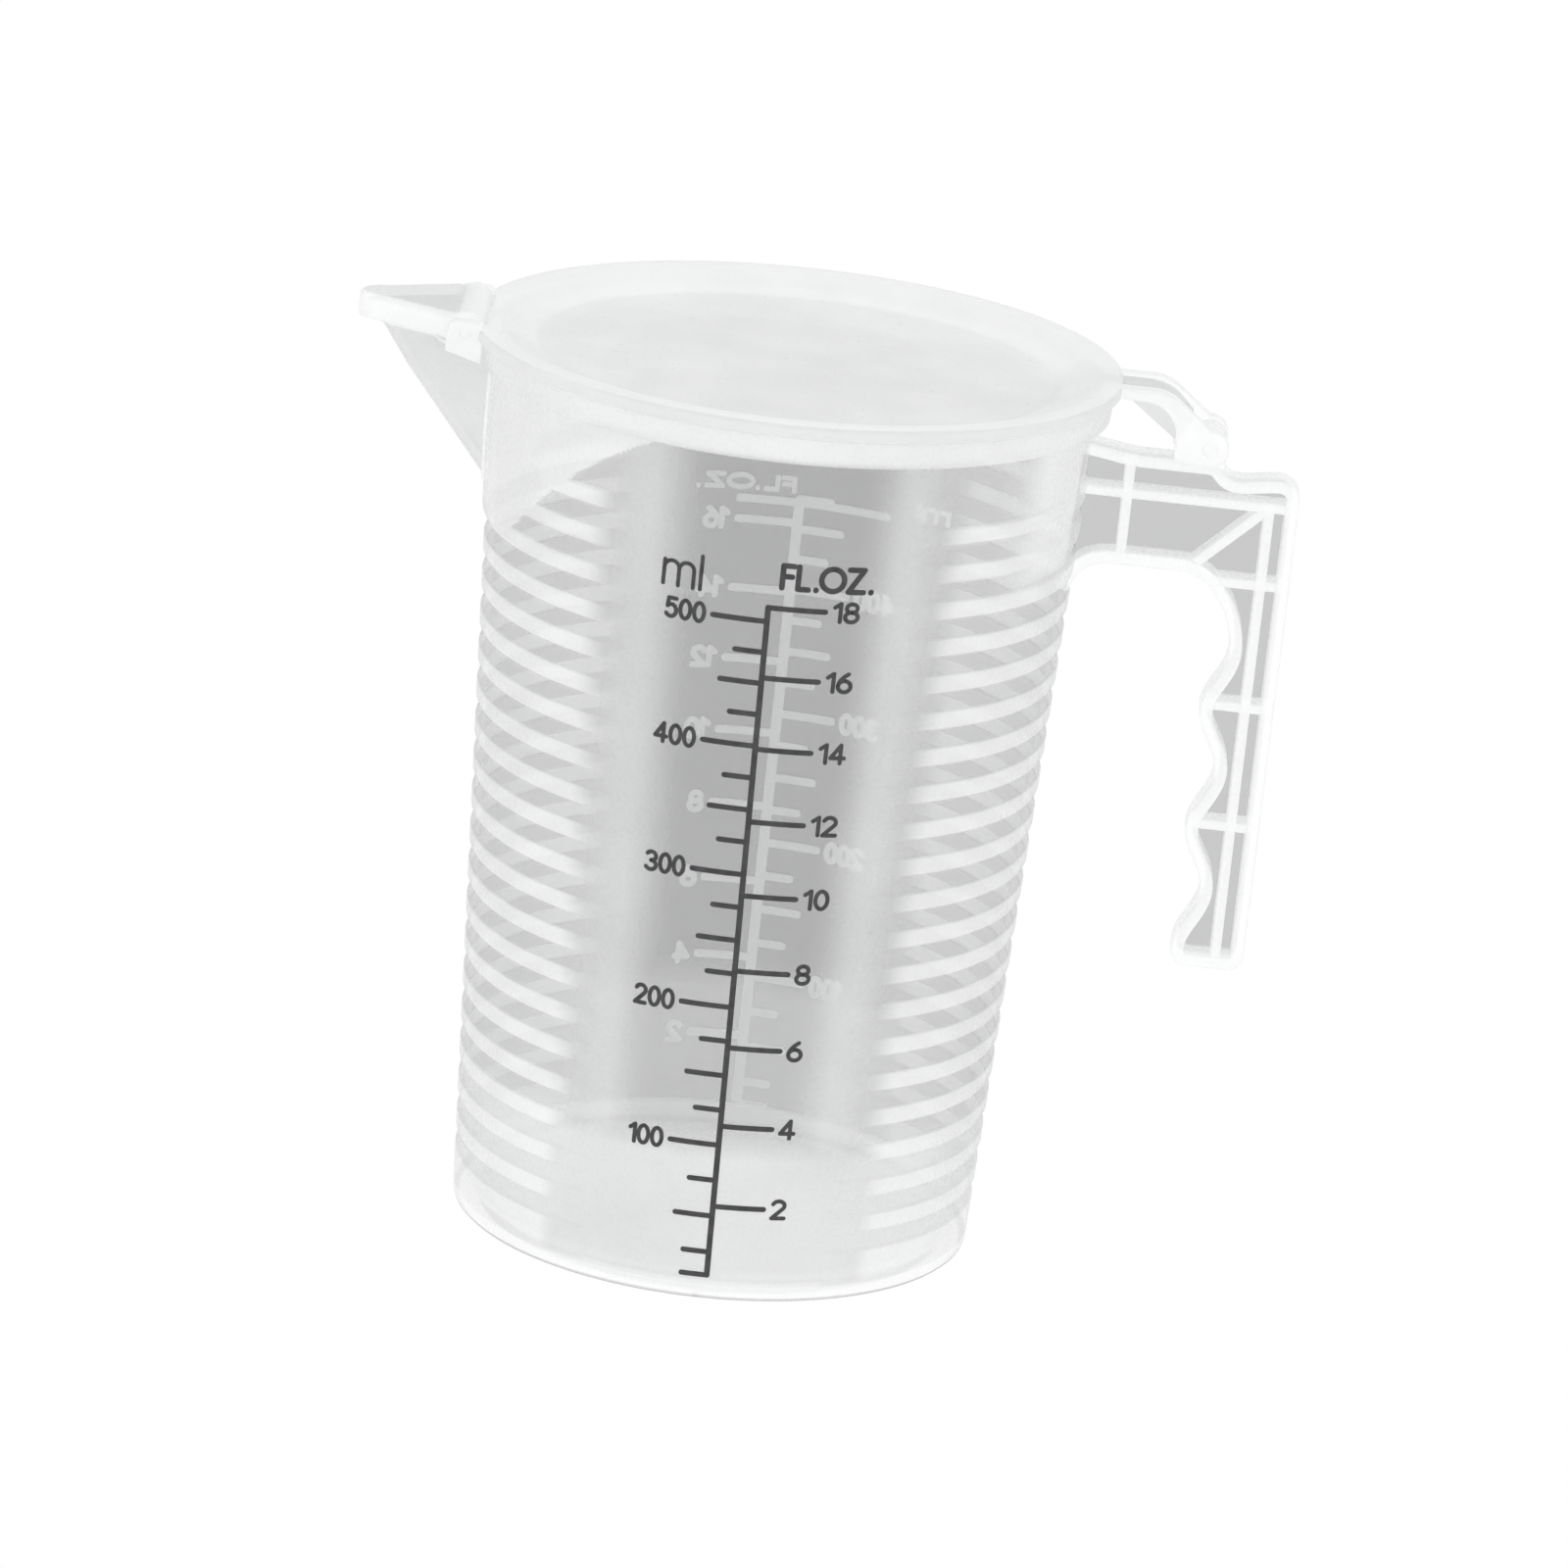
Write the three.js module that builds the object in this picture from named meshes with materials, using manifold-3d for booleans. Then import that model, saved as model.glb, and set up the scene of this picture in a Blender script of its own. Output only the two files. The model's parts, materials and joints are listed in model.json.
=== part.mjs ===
// Measuring jug of clear plastic with a hinged lid and a flip-up cover over its spout.
// Millimetres, +Z up. The origin is the middle of the base on the table.
// The spout points to -X, the handle to +X, and the printed scale faces -Y.

import * as THREE from 'three';
import { ConvexGeometry } from 'three/addons/geometries/ConvexGeometry.js';
import { mergeVertices } from 'three/addons/utils/BufferGeometryUtils.js';
import Module from 'manifold-3d';

const wasm = await Module();
wasm.setup();

// Clearances between pieces
const SEAT_GAP = 0.3;
const PIN_CLEARANCE = 0.3;
const PLUG_CLEARANCE = 0.5;

// Fineness of the faceted shapes
const AROUND = 40;
const CURVE_STEPS = 8;
const RIB_ARC_STEPS = 7;
const FINGER_STEPS = 8;
const HANDLE_CURVE_STEPS = 6;
const PIN_SIDES = 16;
const WELD_DISTANCE = 1e-4;
const MITRE_LIMIT = 0.5;

// Vessel
const BASE_RADIUS = 38;
const WALL_TAPER = 0.0446;
const WALL = 1;
const FLOOR = 2.2;
const FOOT_CHAMFER = 0.6;
const FOOT_BAND = 1.9;
const RIM_HEIGHT = 132;
const COLLAR_HEIGHT = 4.4;
const COLLAR_PROUD = 2.3;
const COLLAR_BEVEL = 0.9;

// Ribs round the vessel, left out on the smooth front and back panels
const RIB_PITCH = 5.56;
const RIB_TALL = 2.85;
const RIB_PROUD = 0.5;
const RIB_ROOT = 0.4;
const FIRST_RIB_HEIGHT = 11.8;
const RIB_FREE_BAND = 6;
const PANEL_HALF_ANGLE = 27;

// Smooth shield on the wall round the spout
const SHIELD_PROUD = 0.9;
const SHIELD_DROP = 22;
const SHIELD_FOOT_HALF = 19;
const SHIELD_HEAD_HALF = 40;

// Capacity scale: millilitres on one side of a spine and fluid ounces on the other
const SCALE_TOP_ML = 500;
const SCALE_STEP_ML = 25;
const OUNCE_ML = 28.41;
const CUBIC_MM_PER_ML = 1000;
const OUNCE_STEP = 2;
const OUNCE_TOP = 18;
const SCALE_HEADROOM = 16;
const SCALE_FOOT_HEIGHT = 3.4;
const SPINE_WIDTH = 0.9;
const TICK_THICKNESS = 0.8;
const HUNDRED_TICK = 7.7;
const FIFTY_TICK = 5.95;
const SHORT_TICK = 4.15;
const OUNCE_TICK = 8.05;
const SPINE_FOOT_X = 1.1;
const SPINE_HEAD_X = 0;
const INK_GAP = 0.1;
const INK_THICKNESS = 0.2;
const RAISED_SCALE_PROUD = 0.5;
const RAISED_SCALE_OFFSET = 2;
const RAISED_TOP_ML = 475;
const RAISED_TOP_OUNCE = 16;

// Spout
const SPOUT_REACH = 16.7;
const SPOUT_SHOULDER_REACH = 7.1;
const SPOUT_ROOT_HALF = 9.8;
const SPOUT_SHOULDER_HALF = 8.2;
const SPOUT_TIP_HALF = 4;
const SPOUT_LIP_HALF = 2;
const SPOUT_LIP = 1;
const SPOUT_KEEL_DROP = 21;
const SPOUT_BELOW_RIM = 1.4;
const SPOUT_WALL = 1.3;

// Lid
const LID_OVERHANG = 1.2;
const LID_FLANGE = 2;
const LID_EDGE_BEVEL = 0.5;
const LID_THICKNESS = 1.4;
const LID_DISH_RADIUS = 38;
const LID_DISH_DEPTH = 2.8;
const LID_RIM_WIDTH = 3.4;
const PLUG_DEPTH = 4.5;
const PLUG_DRAFT = 0.9;
const PLUG_WALL = 1.4;

// Tail of the lid and its hinge on the handle
const LID_AXIS_REACH = 13.4;
const LID_AXIS_BELOW_RIM = 5.7;
const LID_KNUCKLE_RADIUS = 2.7;
const LID_PIN_RADIUS = 1.2;
const TAIL_HALF_WIDTH = 6;
const TAIL_RAIL_WIDTH = 2.8;
const TAIL_RAIL_THICKNESS = 1.9;
const TAIL_PLATE_THICKNESS = 1;
const TAIL_ELBOW_BACK = 6.8;

// Cover over the spout and its hinge on the lid
const COVER_AXIS_REACH = 0.4;
const COVER_AXIS_ABOVE_RIM = 1.4;
const COVER_KNUCKLE_RADIUS = 2.5;
const COVER_KNUCKLE_HALF = 9.4;
const COVER_PIN_RADIUS = 0.9;
const COVER_EAR_WIDTH = 2.6;
const COVER_EAR_RADIUS = 2.7;
const COVER_EAR_BELOW = 3.4;
const COVER_EAR_TAB = 4.8;
const COVER_ROOT_HALF = 9.4;
const COVER_TIP_HALF = 4.1;
const COVER_TIP_OVERHANG = 4.6;
const COVER_TIP_FULLNESS = 0.8;
const COVER_HEIGHT = 4.6;
const COVER_PLATE = 1.4;
const COVER_SKIRT = 1.2;

// Handle: a thin web at the back, with a flange round it and ribs in front of it
const HANDLE_REACH = 30.8;
const HANDLE_HEIGHT = 76.4;
const HANDLE_HALF_WIDTH = 2.9;
const HANDLE_WEB = 1.2;
const HANDLE_FLANGE = 1.9;
const HANDLE_RIB_INSET = 0.3;
const HANDLE_RIB = 1.5;
const ARM_DEPTH = 16.4;
const ARM_ROOT_SLOPE = 0.165;
const ARM_RISE_RUN = 6.5;
const THUMB_STEP = 1.3;
const THUMB_DIP = 1.4;
const THUMB_RADIUS = 3;
const FOOT_RADIUS = 2.2;
const GRIP_DEPTH = 9.2;
const FINGER_PITCH = 18.3;
const FINGER_SWELL = 1.6;
const FINGER_COUNT = 2.5;
const GRIP_FOOT = 2.8;
const GRIP_RIB_RISE = 0.9;
const ARM_CORNER_RUN = 8.2;
const ARM_ROOT_FILLET = 4.5;
const POST_REACH = 5.8;
const MID_RIB_DROP = 5.6;
const BACK_RIB_INSET = 4.2;
const STRUT_RUN = 11.3;
const PALM_RIB_DROP = 1;
const LUG_HALF_WIDTH = TAIL_HALF_WIDTH - TAIL_RAIL_WIDTH - SEAT_GAP;

// Heights and radii that follow from the sizes above
const wallRadius = (height) => BASE_RADIUS + WALL_TAPER * height;
const innerRadius = (height) => wallRadius(height) - WALL;
const collarBottom = RIM_HEIGHT - COLLAR_HEIGHT;
const rimWall = wallRadius(RIM_HEIGHT);
const collarRadius = rimWall + COLLAR_PROUD;
const lidRadius = collarRadius + LID_OVERHANG;
const lidSeat = RIM_HEIGHT + SEAT_GAP;
const lidTop = lidSeat + LID_FLANGE;
const lidAxis = new THREE.Vector2(lidRadius + LID_AXIS_REACH, RIM_HEIGHT - LID_AXIS_BELOW_RIM);
const coverAxis = new THREE.Vector2(-lidRadius - COVER_AXIS_REACH, RIM_HEIGHT + COVER_AXIS_ABOVE_RIM);
const spoutTop = RIM_HEIGHT - SPOUT_BELOW_RIM;
const spoutTipX = -rimWall - SPOUT_REACH;
const coverBottom = spoutTop + SEAT_GAP;
const coverTop = coverBottom + COVER_HEIGHT;
const coverRootX = coverAxis.x - COVER_EAR_RADIUS - SEAT_GAP;
const earInner = COVER_KNUCKLE_HALF + SEAT_GAP;
const earOuter = earInner + COVER_EAR_WIDTH;
const armTop = lidAxis.y - LID_KNUCKLE_RADIUS - SEAT_GAP;
const handleBackX = rimWall + HANDLE_REACH;
const handleFoot = armTop - HANDLE_HEIGHT;

// Closed geometry to a solid for joining and cutting
function solid(geometry) {
  const bare = geometry.index ? geometry.toNonIndexed() : geometry.clone();
  bare.deleteAttribute('normal');
  bare.deleteAttribute('uv');
  const merged = mergeVertices(bare, WELD_DISTANCE);
  const corners = merged.index.array;
  const kept = [];
  for (let i = 0; i < corners.length; i += 3) {
    const [a, b, c] = [corners[i], corners[i + 1], corners[i + 2]];
    if (a !== b && b !== c && c !== a) kept.push(a, b, c);
  }
  return new wasm.Manifold(new wasm.Mesh({
    numProp: 3,
    vertProperties: new Float32Array(merged.attributes.position.array),
    triVerts: new Uint32Array(kept),
  }));
}

// Solid back to a geometry with flat faces
function geometryOf(body) {
  const mesh = body.getMesh();
  const geometry = new THREE.BufferGeometry();
  geometry.setAttribute('position', new THREE.BufferAttribute(new Float32Array(mesh.vertProperties), 3));
  geometry.setIndex(new THREE.BufferAttribute(new Uint32Array(mesh.triVerts), 1));
  geometry.computeVertexNormals();
  return geometry;
}

const joined = (bodies) => bodies.reduce((sum, body) => sum.add(body));

// Turned solid from (radius, height) points that start and end on the axis or close on themselves
function turned(points) {
  const profile = points.map(([radius, height]) => new THREE.Vector2(radius, height));
  return solid(new THREE.LatheGeometry(profile, AROUND).rotateX(Math.PI / 2));
}

// Outline in X and Z carried across the jug from -halfWidth to halfWidth in Y
function across(shape, halfWidth, curveSegments = CURVE_STEPS) {
  const depth = 2 * halfWidth;
  const geometry = new THREE.ExtrudeGeometry(shape, { depth, bevelEnabled: false, curveSegments });
  return solid(geometry.rotateX(Math.PI / 2).translate(0, halfWidth, 0));
}

// The same outline carried from one Y to another
function acrossBetween(shape, fromY, toY) {
  return across(shape, (toY - fromY) / 2).translate([0, (toY + fromY) / 2, 0]);
}

// Outline in Y and Z carried along X
function lengthwise(shape, fromX, toX) {
  const geometry = new THREE.ExtrudeGeometry(shape, { depth: toX - fromX, bevelEnabled: false });
  const turn = new THREE.Matrix4().makeBasis(
    new THREE.Vector3(0, 1, 0),
    new THREE.Vector3(0, 0, 1),
    new THREE.Vector3(1, 0, 0),
  );
  return solid(geometry.applyMatrix4(turn).translate(fromX, 0, 0));
}

// Outline in X and Y raised from one height to another
function raised(shape, fromZ, toZ, curveSegments = CURVE_STEPS) {
  const depth = toZ - fromZ;
  const geometry = new THREE.ExtrudeGeometry(shape, { depth, bevelEnabled: false, curveSegments });
  return solid(geometry.translate(0, 0, fromZ));
}

const polygon = (points) => new THREE.Shape(points.map(([x, y]) => new THREE.Vector2(x, y)));

function disc(centre, radius) {
  return new THREE.Shape().absarc(centre.x, centre.y, radius, 0, 2 * Math.PI, false);
}

// Straight bar of the given thickness between two points of a plane
function bar(from, to, thickness) {
  const side = to.clone().sub(from).normalize().multiplyScalar(thickness / 2);
  side.set(-side.y, side.x);
  return new THREE.Shape([
    from.clone().add(side),
    from.clone().sub(side),
    to.clone().sub(side),
    to.clone().add(side),
  ]);
}

const box = (low, high) => raised(
  polygon([[low[0], low[1]], [high[0], low[1]], [high[0], high[1]], [low[0], high[1]]]),
  low[2],
  high[2],
);

const pinHole = (axis, radius, halfWidth) => across(disc(axis, radius + PIN_CLEARANCE), halfWidth);

// Ring that follows the tapered wall between two heights, from one offset off the wall to another
function wallRing(fromZ, toZ, innerOffset, outerOffset) {
  return turned([
    [wallRadius(fromZ) + innerOffset, fromZ],
    [wallRadius(fromZ) + outerOffset, fromZ],
    [wallRadius(toZ) + outerOffset, toZ],
    [wallRadius(toZ) + innerOffset, toZ],
    [wallRadius(fromZ) + innerOffset, fromZ],
  ]);
}

// Everything inside the vessel's outer surface and a seat gap, to trim what meets the wall and the collar
function vesselEnvelope(proud) {
  const clear = proud + SEAT_GAP;
  const low = -RIM_HEIGHT;
  const high = 2 * RIM_HEIGHT;
  const underCollar = collarBottom - SEAT_GAP;
  return turned([
    [0, low],
    [wallRadius(low) + clear, low],
    [wallRadius(underCollar) + clear, underCollar],
    [collarRadius + SEAT_GAP, underCollar + COLLAR_BEVEL],
    [collarRadius + SEAT_GAP, high],
    [0, high],
  ]);
}

// Height of the liquid's surface above the table for a volume in millilitres:
// the inside is a frustum, so its volume is a difference of two cubes of the radius
function markHeight(millilitres) {
  const floorRadius = innerRadius(FLOOR);
  const cube = floorRadius ** 3 + (3 * WALL_TAPER * millilitres * CUBIC_MM_PER_ML) / Math.PI;
  return FLOOR + (Math.cbrt(cube) - floorRadius) / WALL_TAPER;
}

// Heights and lengths of the marks on one side of the scale
function scaleMarks(step, top, millilitresPerStep, lengthOf) {
  const marks = [];
  for (let value = step; value <= top; value += step) {
    const height = markHeight(value * millilitresPerStep);
    if (height < RIM_HEIGHT - SCALE_HEADROOM) marks.push({ height, length: lengthOf(value) });
  }
  return marks;
}

function millilitreTick(value) {
  if (value % 100 === 0) return HUNDRED_TICK;
  return value % 50 === 0 ? FIFTY_TICK : SHORT_TICK;
}

// Comb outline of a scale seen from its own side: a spine with marks to its left and right.
// Lengths are those at the head, and they narrow downwards with the wall's taper.
function scaleOutline({ topMl, topOunce, footX, headX }) {
  const millilitres = scaleMarks(SCALE_STEP_ML, topMl, 1, millilitreTick);
  const ounces = scaleMarks(OUNCE_STEP, topOunce, OUNCE_ML, () => OUNCE_TICK);
  const half = SPINE_WIDTH / 2;
  const tickHalf = TICK_THICKNESS / 2;
  const head = Math.max(millilitres.at(-1).height, ounces.at(-1).height) + tickHalf;
  const points = [[-half - SHORT_TICK, SCALE_FOOT_HEIGHT], [half, SCALE_FOOT_HEIGHT]];
  for (const { height, length } of ounces) {
    points.push([half, height - tickHalf], [half + length, height - tickHalf]);
    points.push([half + length, height + tickHalf], [half, height + tickHalf]);
  }
  points.push([half, head], [-half, head]);
  for (const { height, length } of millilitres.toReversed()) {
    points.push([-half, height + tickHalf], [-half - length, height + tickHalf]);
    points.push([-half - length, height - tickHalf], [-half, height - tickHalf]);
  }
  points.push([-half, SCALE_FOOT_HEIGHT + TICK_THICKNESS]);
  points.push([-half - SHORT_TICK, SCALE_FOOT_HEIGHT + TICK_THICKNESS]);
  return polygon(points.map(([x, z]) => {
    const spineX = THREE.MathUtils.mapLinear(z, SCALE_FOOT_HEIGHT, head, footX, headX);
    return [spineX + (x * wallRadius(z)) / wallRadius(head), z];
  }));
}

// Scale marks lying on the front wall between two offsets off its surface
function frontScale(innerOffset, outerOffset, layout) {
  const sheet = across(scaleOutline(layout), collarRadius / 2).translate([0, -collarRadius / 2, 0]);
  return sheet.intersect(wallRing(0, collarBottom, innerOffset, outerOffset));
}

function printedScale() {
  return frontScale(INK_GAP, INK_GAP + INK_THICKNESS, {
    topMl: SCALE_TOP_ML,
    topOunce: OUNCE_TOP,
    footX: SPINE_FOOT_X,
    headX: SPINE_HEAD_X,
  });
}

// The same scale raised on the back wall, to be read from behind
function raisedScale() {
  return frontScale(-RIB_ROOT, RAISED_SCALE_PROUD, {
    topMl: RAISED_TOP_ML,
    topOunce: RAISED_TOP_OUNCE,
    footX: -RAISED_SCALE_OFFSET,
    headX: -RAISED_SCALE_OFFSET,
  }).rotate([0, 0, 180]);
}

// The vessel's cup shape: a foot band flush with the ribs, a tapered wall and a thick collar below the rim
function cup() {
  const footRadius = BASE_RADIUS + RIB_PROUD;
  return turned([
    [0, 0],
    [footRadius - FOOT_CHAMFER, 0],
    [footRadius, FOOT_CHAMFER],
    [footRadius, FOOT_BAND],
    [wallRadius(FOOT_BAND + RIB_PROUD), FOOT_BAND + RIB_PROUD],
    [wallRadius(collarBottom), collarBottom],
    [collarRadius, collarBottom + COLLAR_BEVEL],
    [collarRadius, RIM_HEIGHT],
    [innerRadius(RIM_HEIGHT), RIM_HEIGHT],
    [innerRadius(FLOOR), FLOOR],
    [0, FLOOR],
  ]);
}

// One rib on the spout's or the handle's side of the cup
function rib(height, tall, middleAngle) {
  const span = THREE.MathUtils.degToRad(90 - PANEL_HALF_ANGLE);
  const inner = wallRadius(height) - RIB_ROOT;
  const outer = wallRadius(height) + RIB_PROUD;
  const sector = new THREE.Shape();
  sector.absarc(0, 0, outer, middleAngle - span, middleAngle + span, false);
  sector.absarc(0, 0, inner, middleAngle + span, middleAngle - span, true);
  return raised(sector, height - tall / 2, height + tall / 2, RIB_ARC_STEPS);
}

// The ribs above one another, and a tall one that starts from the foot
function ribs() {
  const footTop = FIRST_RIB_HEIGHT - RIB_PITCH + RIB_TALL / 2;
  const footTall = footTop - FOOT_CHAMFER;
  const footMiddle = footTop - footTall / 2;
  const highest = collarBottom - RIB_FREE_BAND - RIB_TALL / 2;
  const bodies = [];
  for (const side of [0, Math.PI]) {
    bodies.push(rib(footMiddle, footTall, side));
    for (let height = FIRST_RIB_HEIGHT; height < highest; height += RIB_PITCH) {
      bodies.push(rib(height, RIB_TALL, side));
    }
  }
  return bodies;
}

// Smooth raised area of the wall that narrows downwards below the spout
function spoutShield() {
  const foot = collarBottom - SHIELD_DROP;
  const head = collarBottom + COLLAR_BEVEL / 2;
  const outline = polygon([
    [-SHIELD_FOOT_HALF, foot],
    [SHIELD_FOOT_HALF, foot],
    [SHIELD_HEAD_HALF, head],
    [-SHIELD_HEAD_HALF, head],
  ]);
  return wallRing(foot, head, -RIB_ROOT, SHIELD_PROUD).intersect(lengthwise(outline, -2 * rimWall, 0));
}

// Opening in the wall through which the cup pours into the spout
function spoutWindow() {
  const half = SPOUT_ROOT_HALF - SPOUT_WALL - SEAT_GAP;
  const apex = spoutTop - SPOUT_KEEL_DROP + 2 * SPOUT_WALL;
  const outline = polygon([[0, apex], [half, spoutTop], [half, 2 * RIM_HEIGHT], [-half, 2 * RIM_HEIGHT],
    [-half, spoutTop]]);
  return lengthwise(outline, -2 * rimWall, -rimWall / 2);
}

function vessel() {
  return joined([cup(), ...ribs(), spoutShield(), raisedScale()]).subtract(spoutWindow());
}

// The spout's wedge with its keel drawn in by a wall thickness, up to a given height:
// the keel line rises from the wall to the tip, and the tip lies on it
function spoutWedge(inset, rootX, top) {
  const shoulderX = -rimWall - SPOUT_SHOULDER_REACH;
  const keelSlope = SPOUT_KEEL_DROP / SPOUT_REACH;
  const keelRoot = spoutTop - SPOUT_KEEL_DROP + inset * Math.hypot(1, keelSlope);
  const tipX = -rimWall - (top - keelRoot) / keelSlope;
  const points = [];
  for (const side of [-1, 1]) {
    points.push(new THREE.Vector3(rootX, side * (SPOUT_ROOT_HALF - inset), top));
    points.push(new THREE.Vector3(shoulderX, side * (SPOUT_SHOULDER_HALF - inset), top));
    points.push(new THREE.Vector3(tipX + SPOUT_LIP, side * (SPOUT_TIP_HALF - inset), top));
    points.push(new THREE.Vector3(tipX, side * (SPOUT_LIP_HALF - inset / 2), top));
  }
  points.push(new THREE.Vector3(rootX, 0, keelRoot - (rootX + rimWall) * keelSlope));
  return solid(new ConvexGeometry(points));
}

function pouringSpout() {
  const outside = spoutWedge(0, -rimWall + 2 * COLLAR_PROUD, spoutTop);
  const inside = spoutWedge(SPOUT_WALL, -rimWall + 4 * COLLAR_PROUD, spoutTop + SPOUT_WALL);
  return outside.subtract(inside).subtract(vesselEnvelope(SHIELD_PROUD));
}

// Lid: a flange on the rim, a dished top and a drafted plug inside the wall
function lidDisc() {
  const dishFloor = lidTop - LID_DISH_DEPTH;
  const plugRadius = innerRadius(RIM_HEIGHT) - PLUG_CLEARANCE;
  const plugFoot = RIM_HEIGHT - PLUG_DEPTH;
  const plugInner = plugRadius - PLUG_DRAFT - PLUG_WALL;
  const slopeTop = lidRadius - LID_RIM_WIDTH;
  const slope = LID_DISH_DEPTH / (slopeTop - LID_DISH_RADIUS);
  const underside = dishFloor - LID_THICKNESS;
  return turned([
    [0, underside],
    [LID_DISH_RADIUS, underside],
    [plugInner, underside + (plugInner - LID_DISH_RADIUS) * slope],
    [plugInner, plugFoot],
    [plugRadius - PLUG_DRAFT, plugFoot],
    [plugRadius, lidSeat],
    [lidRadius - LID_EDGE_BEVEL, lidSeat],
    [lidRadius, lidSeat + LID_EDGE_BEVEL],
    [lidRadius, lidTop - LID_EDGE_BEVEL],
    [lidRadius - LID_EDGE_BEVEL, lidTop],
    [slopeTop, lidTop],
    [LID_DISH_RADIUS, dishFloor],
    [0, dishFloor],
  ]);
}

// Two rails from the lid's rim to the knuckles of its hinge, with a plate between them
function lidTail() {
  const elbow = new THREE.Vector2(lidAxis.x - TAIL_ELBOW_BACK, lidSeat + TAIL_RAIL_THICKNESS / 2);
  const start = new THREE.Vector2(lidRadius - LID_RIM_WIDTH, elbow.y);
  const inner = TAIL_HALF_WIDTH - TAIL_RAIL_WIDTH;
  const rails = [];
  for (const [fromY, toY] of [[-TAIL_HALF_WIDTH, -inner], [inner, TAIL_HALF_WIDTH]]) {
    rails.push(acrossBetween(bar(start, elbow, TAIL_RAIL_THICKNESS), fromY, toY));
    rails.push(acrossBetween(bar(elbow, lidAxis, TAIL_RAIL_THICKNESS), fromY, toY));
    rails.push(acrossBetween(disc(elbow, TAIL_RAIL_THICKNESS / 2), fromY, toY));
    rails.push(acrossBetween(disc(lidAxis, LID_KNUCKLE_RADIUS), fromY, toY));
  }
  const lugClear = LID_KNUCKLE_RADIUS + SEAT_GAP;
  const plateEnd = lidAxis.clone().add(elbow.clone().sub(lidAxis).setLength(lugClear));
  const plateHalf = inner + SEAT_GAP;
  const plates = [
    across(bar(start, elbow, TAIL_PLATE_THICKNESS), plateHalf),
    across(disc(elbow, TAIL_PLATE_THICKNESS / 2), plateHalf),
    across(bar(elbow, plateEnd, TAIL_PLATE_THICKNESS), plateHalf),
  ];
  return joined([...rails, ...plates]);
}

// Ear on the lid that carries one end of the cover's hinge pin
function coverEar(fromY, toY) {
  const innerX = -collarRadius - SEAT_GAP;
  const tabX = coverAxis.x + COVER_EAR_TAB;
  const outline = new THREE.Shape();
  outline.moveTo(coverAxis.x - COVER_EAR_RADIUS, coverAxis.y - COVER_EAR_BELOW);
  outline.lineTo(innerX, coverAxis.y - COVER_EAR_BELOW);
  outline.lineTo(innerX, lidSeat);
  outline.lineTo(tabX, lidSeat);
  outline.lineTo(tabX, lidTop);
  outline.absarc(coverAxis.x, coverAxis.y, COVER_EAR_RADIUS, Math.PI / 4, Math.PI, false);
  return acrossBetween(outline, fromY, toY);
}

function lid() {
  const knuckleX = coverAxis.x + COVER_KNUCKLE_RADIUS + SEAT_GAP;
  const knuckleRoom = box([-2 * lidRadius, -earInner, 0], [knuckleX, earInner, 2 * RIM_HEIGHT]);
  const pourHalf = SPOUT_ROOT_HALF - SPOUT_WALL;
  const dishUnderside = lidTop - LID_DISH_DEPTH - LID_THICKNESS;
  const pourNotch = box([-lidRadius, -pourHalf, 0], [-LID_DISH_RADIUS, pourHalf, dishUnderside]);
  return joined([lidDisc().subtract(pourNotch), lidTail()])
    .subtract(knuckleRoom)
    .add(coverEar(-earOuter, -earInner))
    .add(coverEar(earInner, earOuter))
    .subtract(pinHole(lidAxis, LID_PIN_RADIUS, TAIL_HALF_WIDTH + SEAT_GAP))
    .subtract(pinHole(coverAxis, COVER_PIN_RADIUS, earOuter + SEAT_GAP));
}

// Plan outline of the cover: straight sides that close in to a round tip
function coverOutline(inset) {
  const tipX = spoutTipX - COVER_TIP_OVERHANG + inset;
  const tipHalf = COVER_TIP_HALF - inset;
  const shoulderX = tipX + tipHalf;
  const rootX = coverRootX - inset;
  const rootHalf = COVER_ROOT_HALF - inset;
  const outline = new THREE.Shape();
  outline.moveTo(rootX, rootHalf);
  outline.lineTo(shoulderX, tipHalf);
  const noseHalf = COVER_TIP_FULLNESS * tipHalf;
  outline.bezierCurveTo(tipX, noseHalf, tipX, -noseHalf, shoulderX, -tipHalf);
  outline.lineTo(rootX, -rootHalf);
  return outline;
}

function spoutCover() {
  const shell = raised(coverOutline(0), coverBottom, coverTop);
  const hollow = raised(coverOutline(COVER_SKIRT), coverBottom - COVER_SKIRT, coverTop - COVER_PLATE);
  const knuckle = across(disc(coverAxis, COVER_KNUCKLE_RADIUS), COVER_KNUCKLE_HALF);
  const arm = box(
    [coverRootX - COVER_SKIRT, -COVER_KNUCKLE_HALF, coverAxis.y],
    [coverAxis.x, COVER_KNUCKLE_HALF, coverTop],
  );
  return shell.subtract(hollow).add(knuckle).add(arm)
    .subtract(pinHole(coverAxis, COVER_PIN_RADIUS, earOuter));
}

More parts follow.
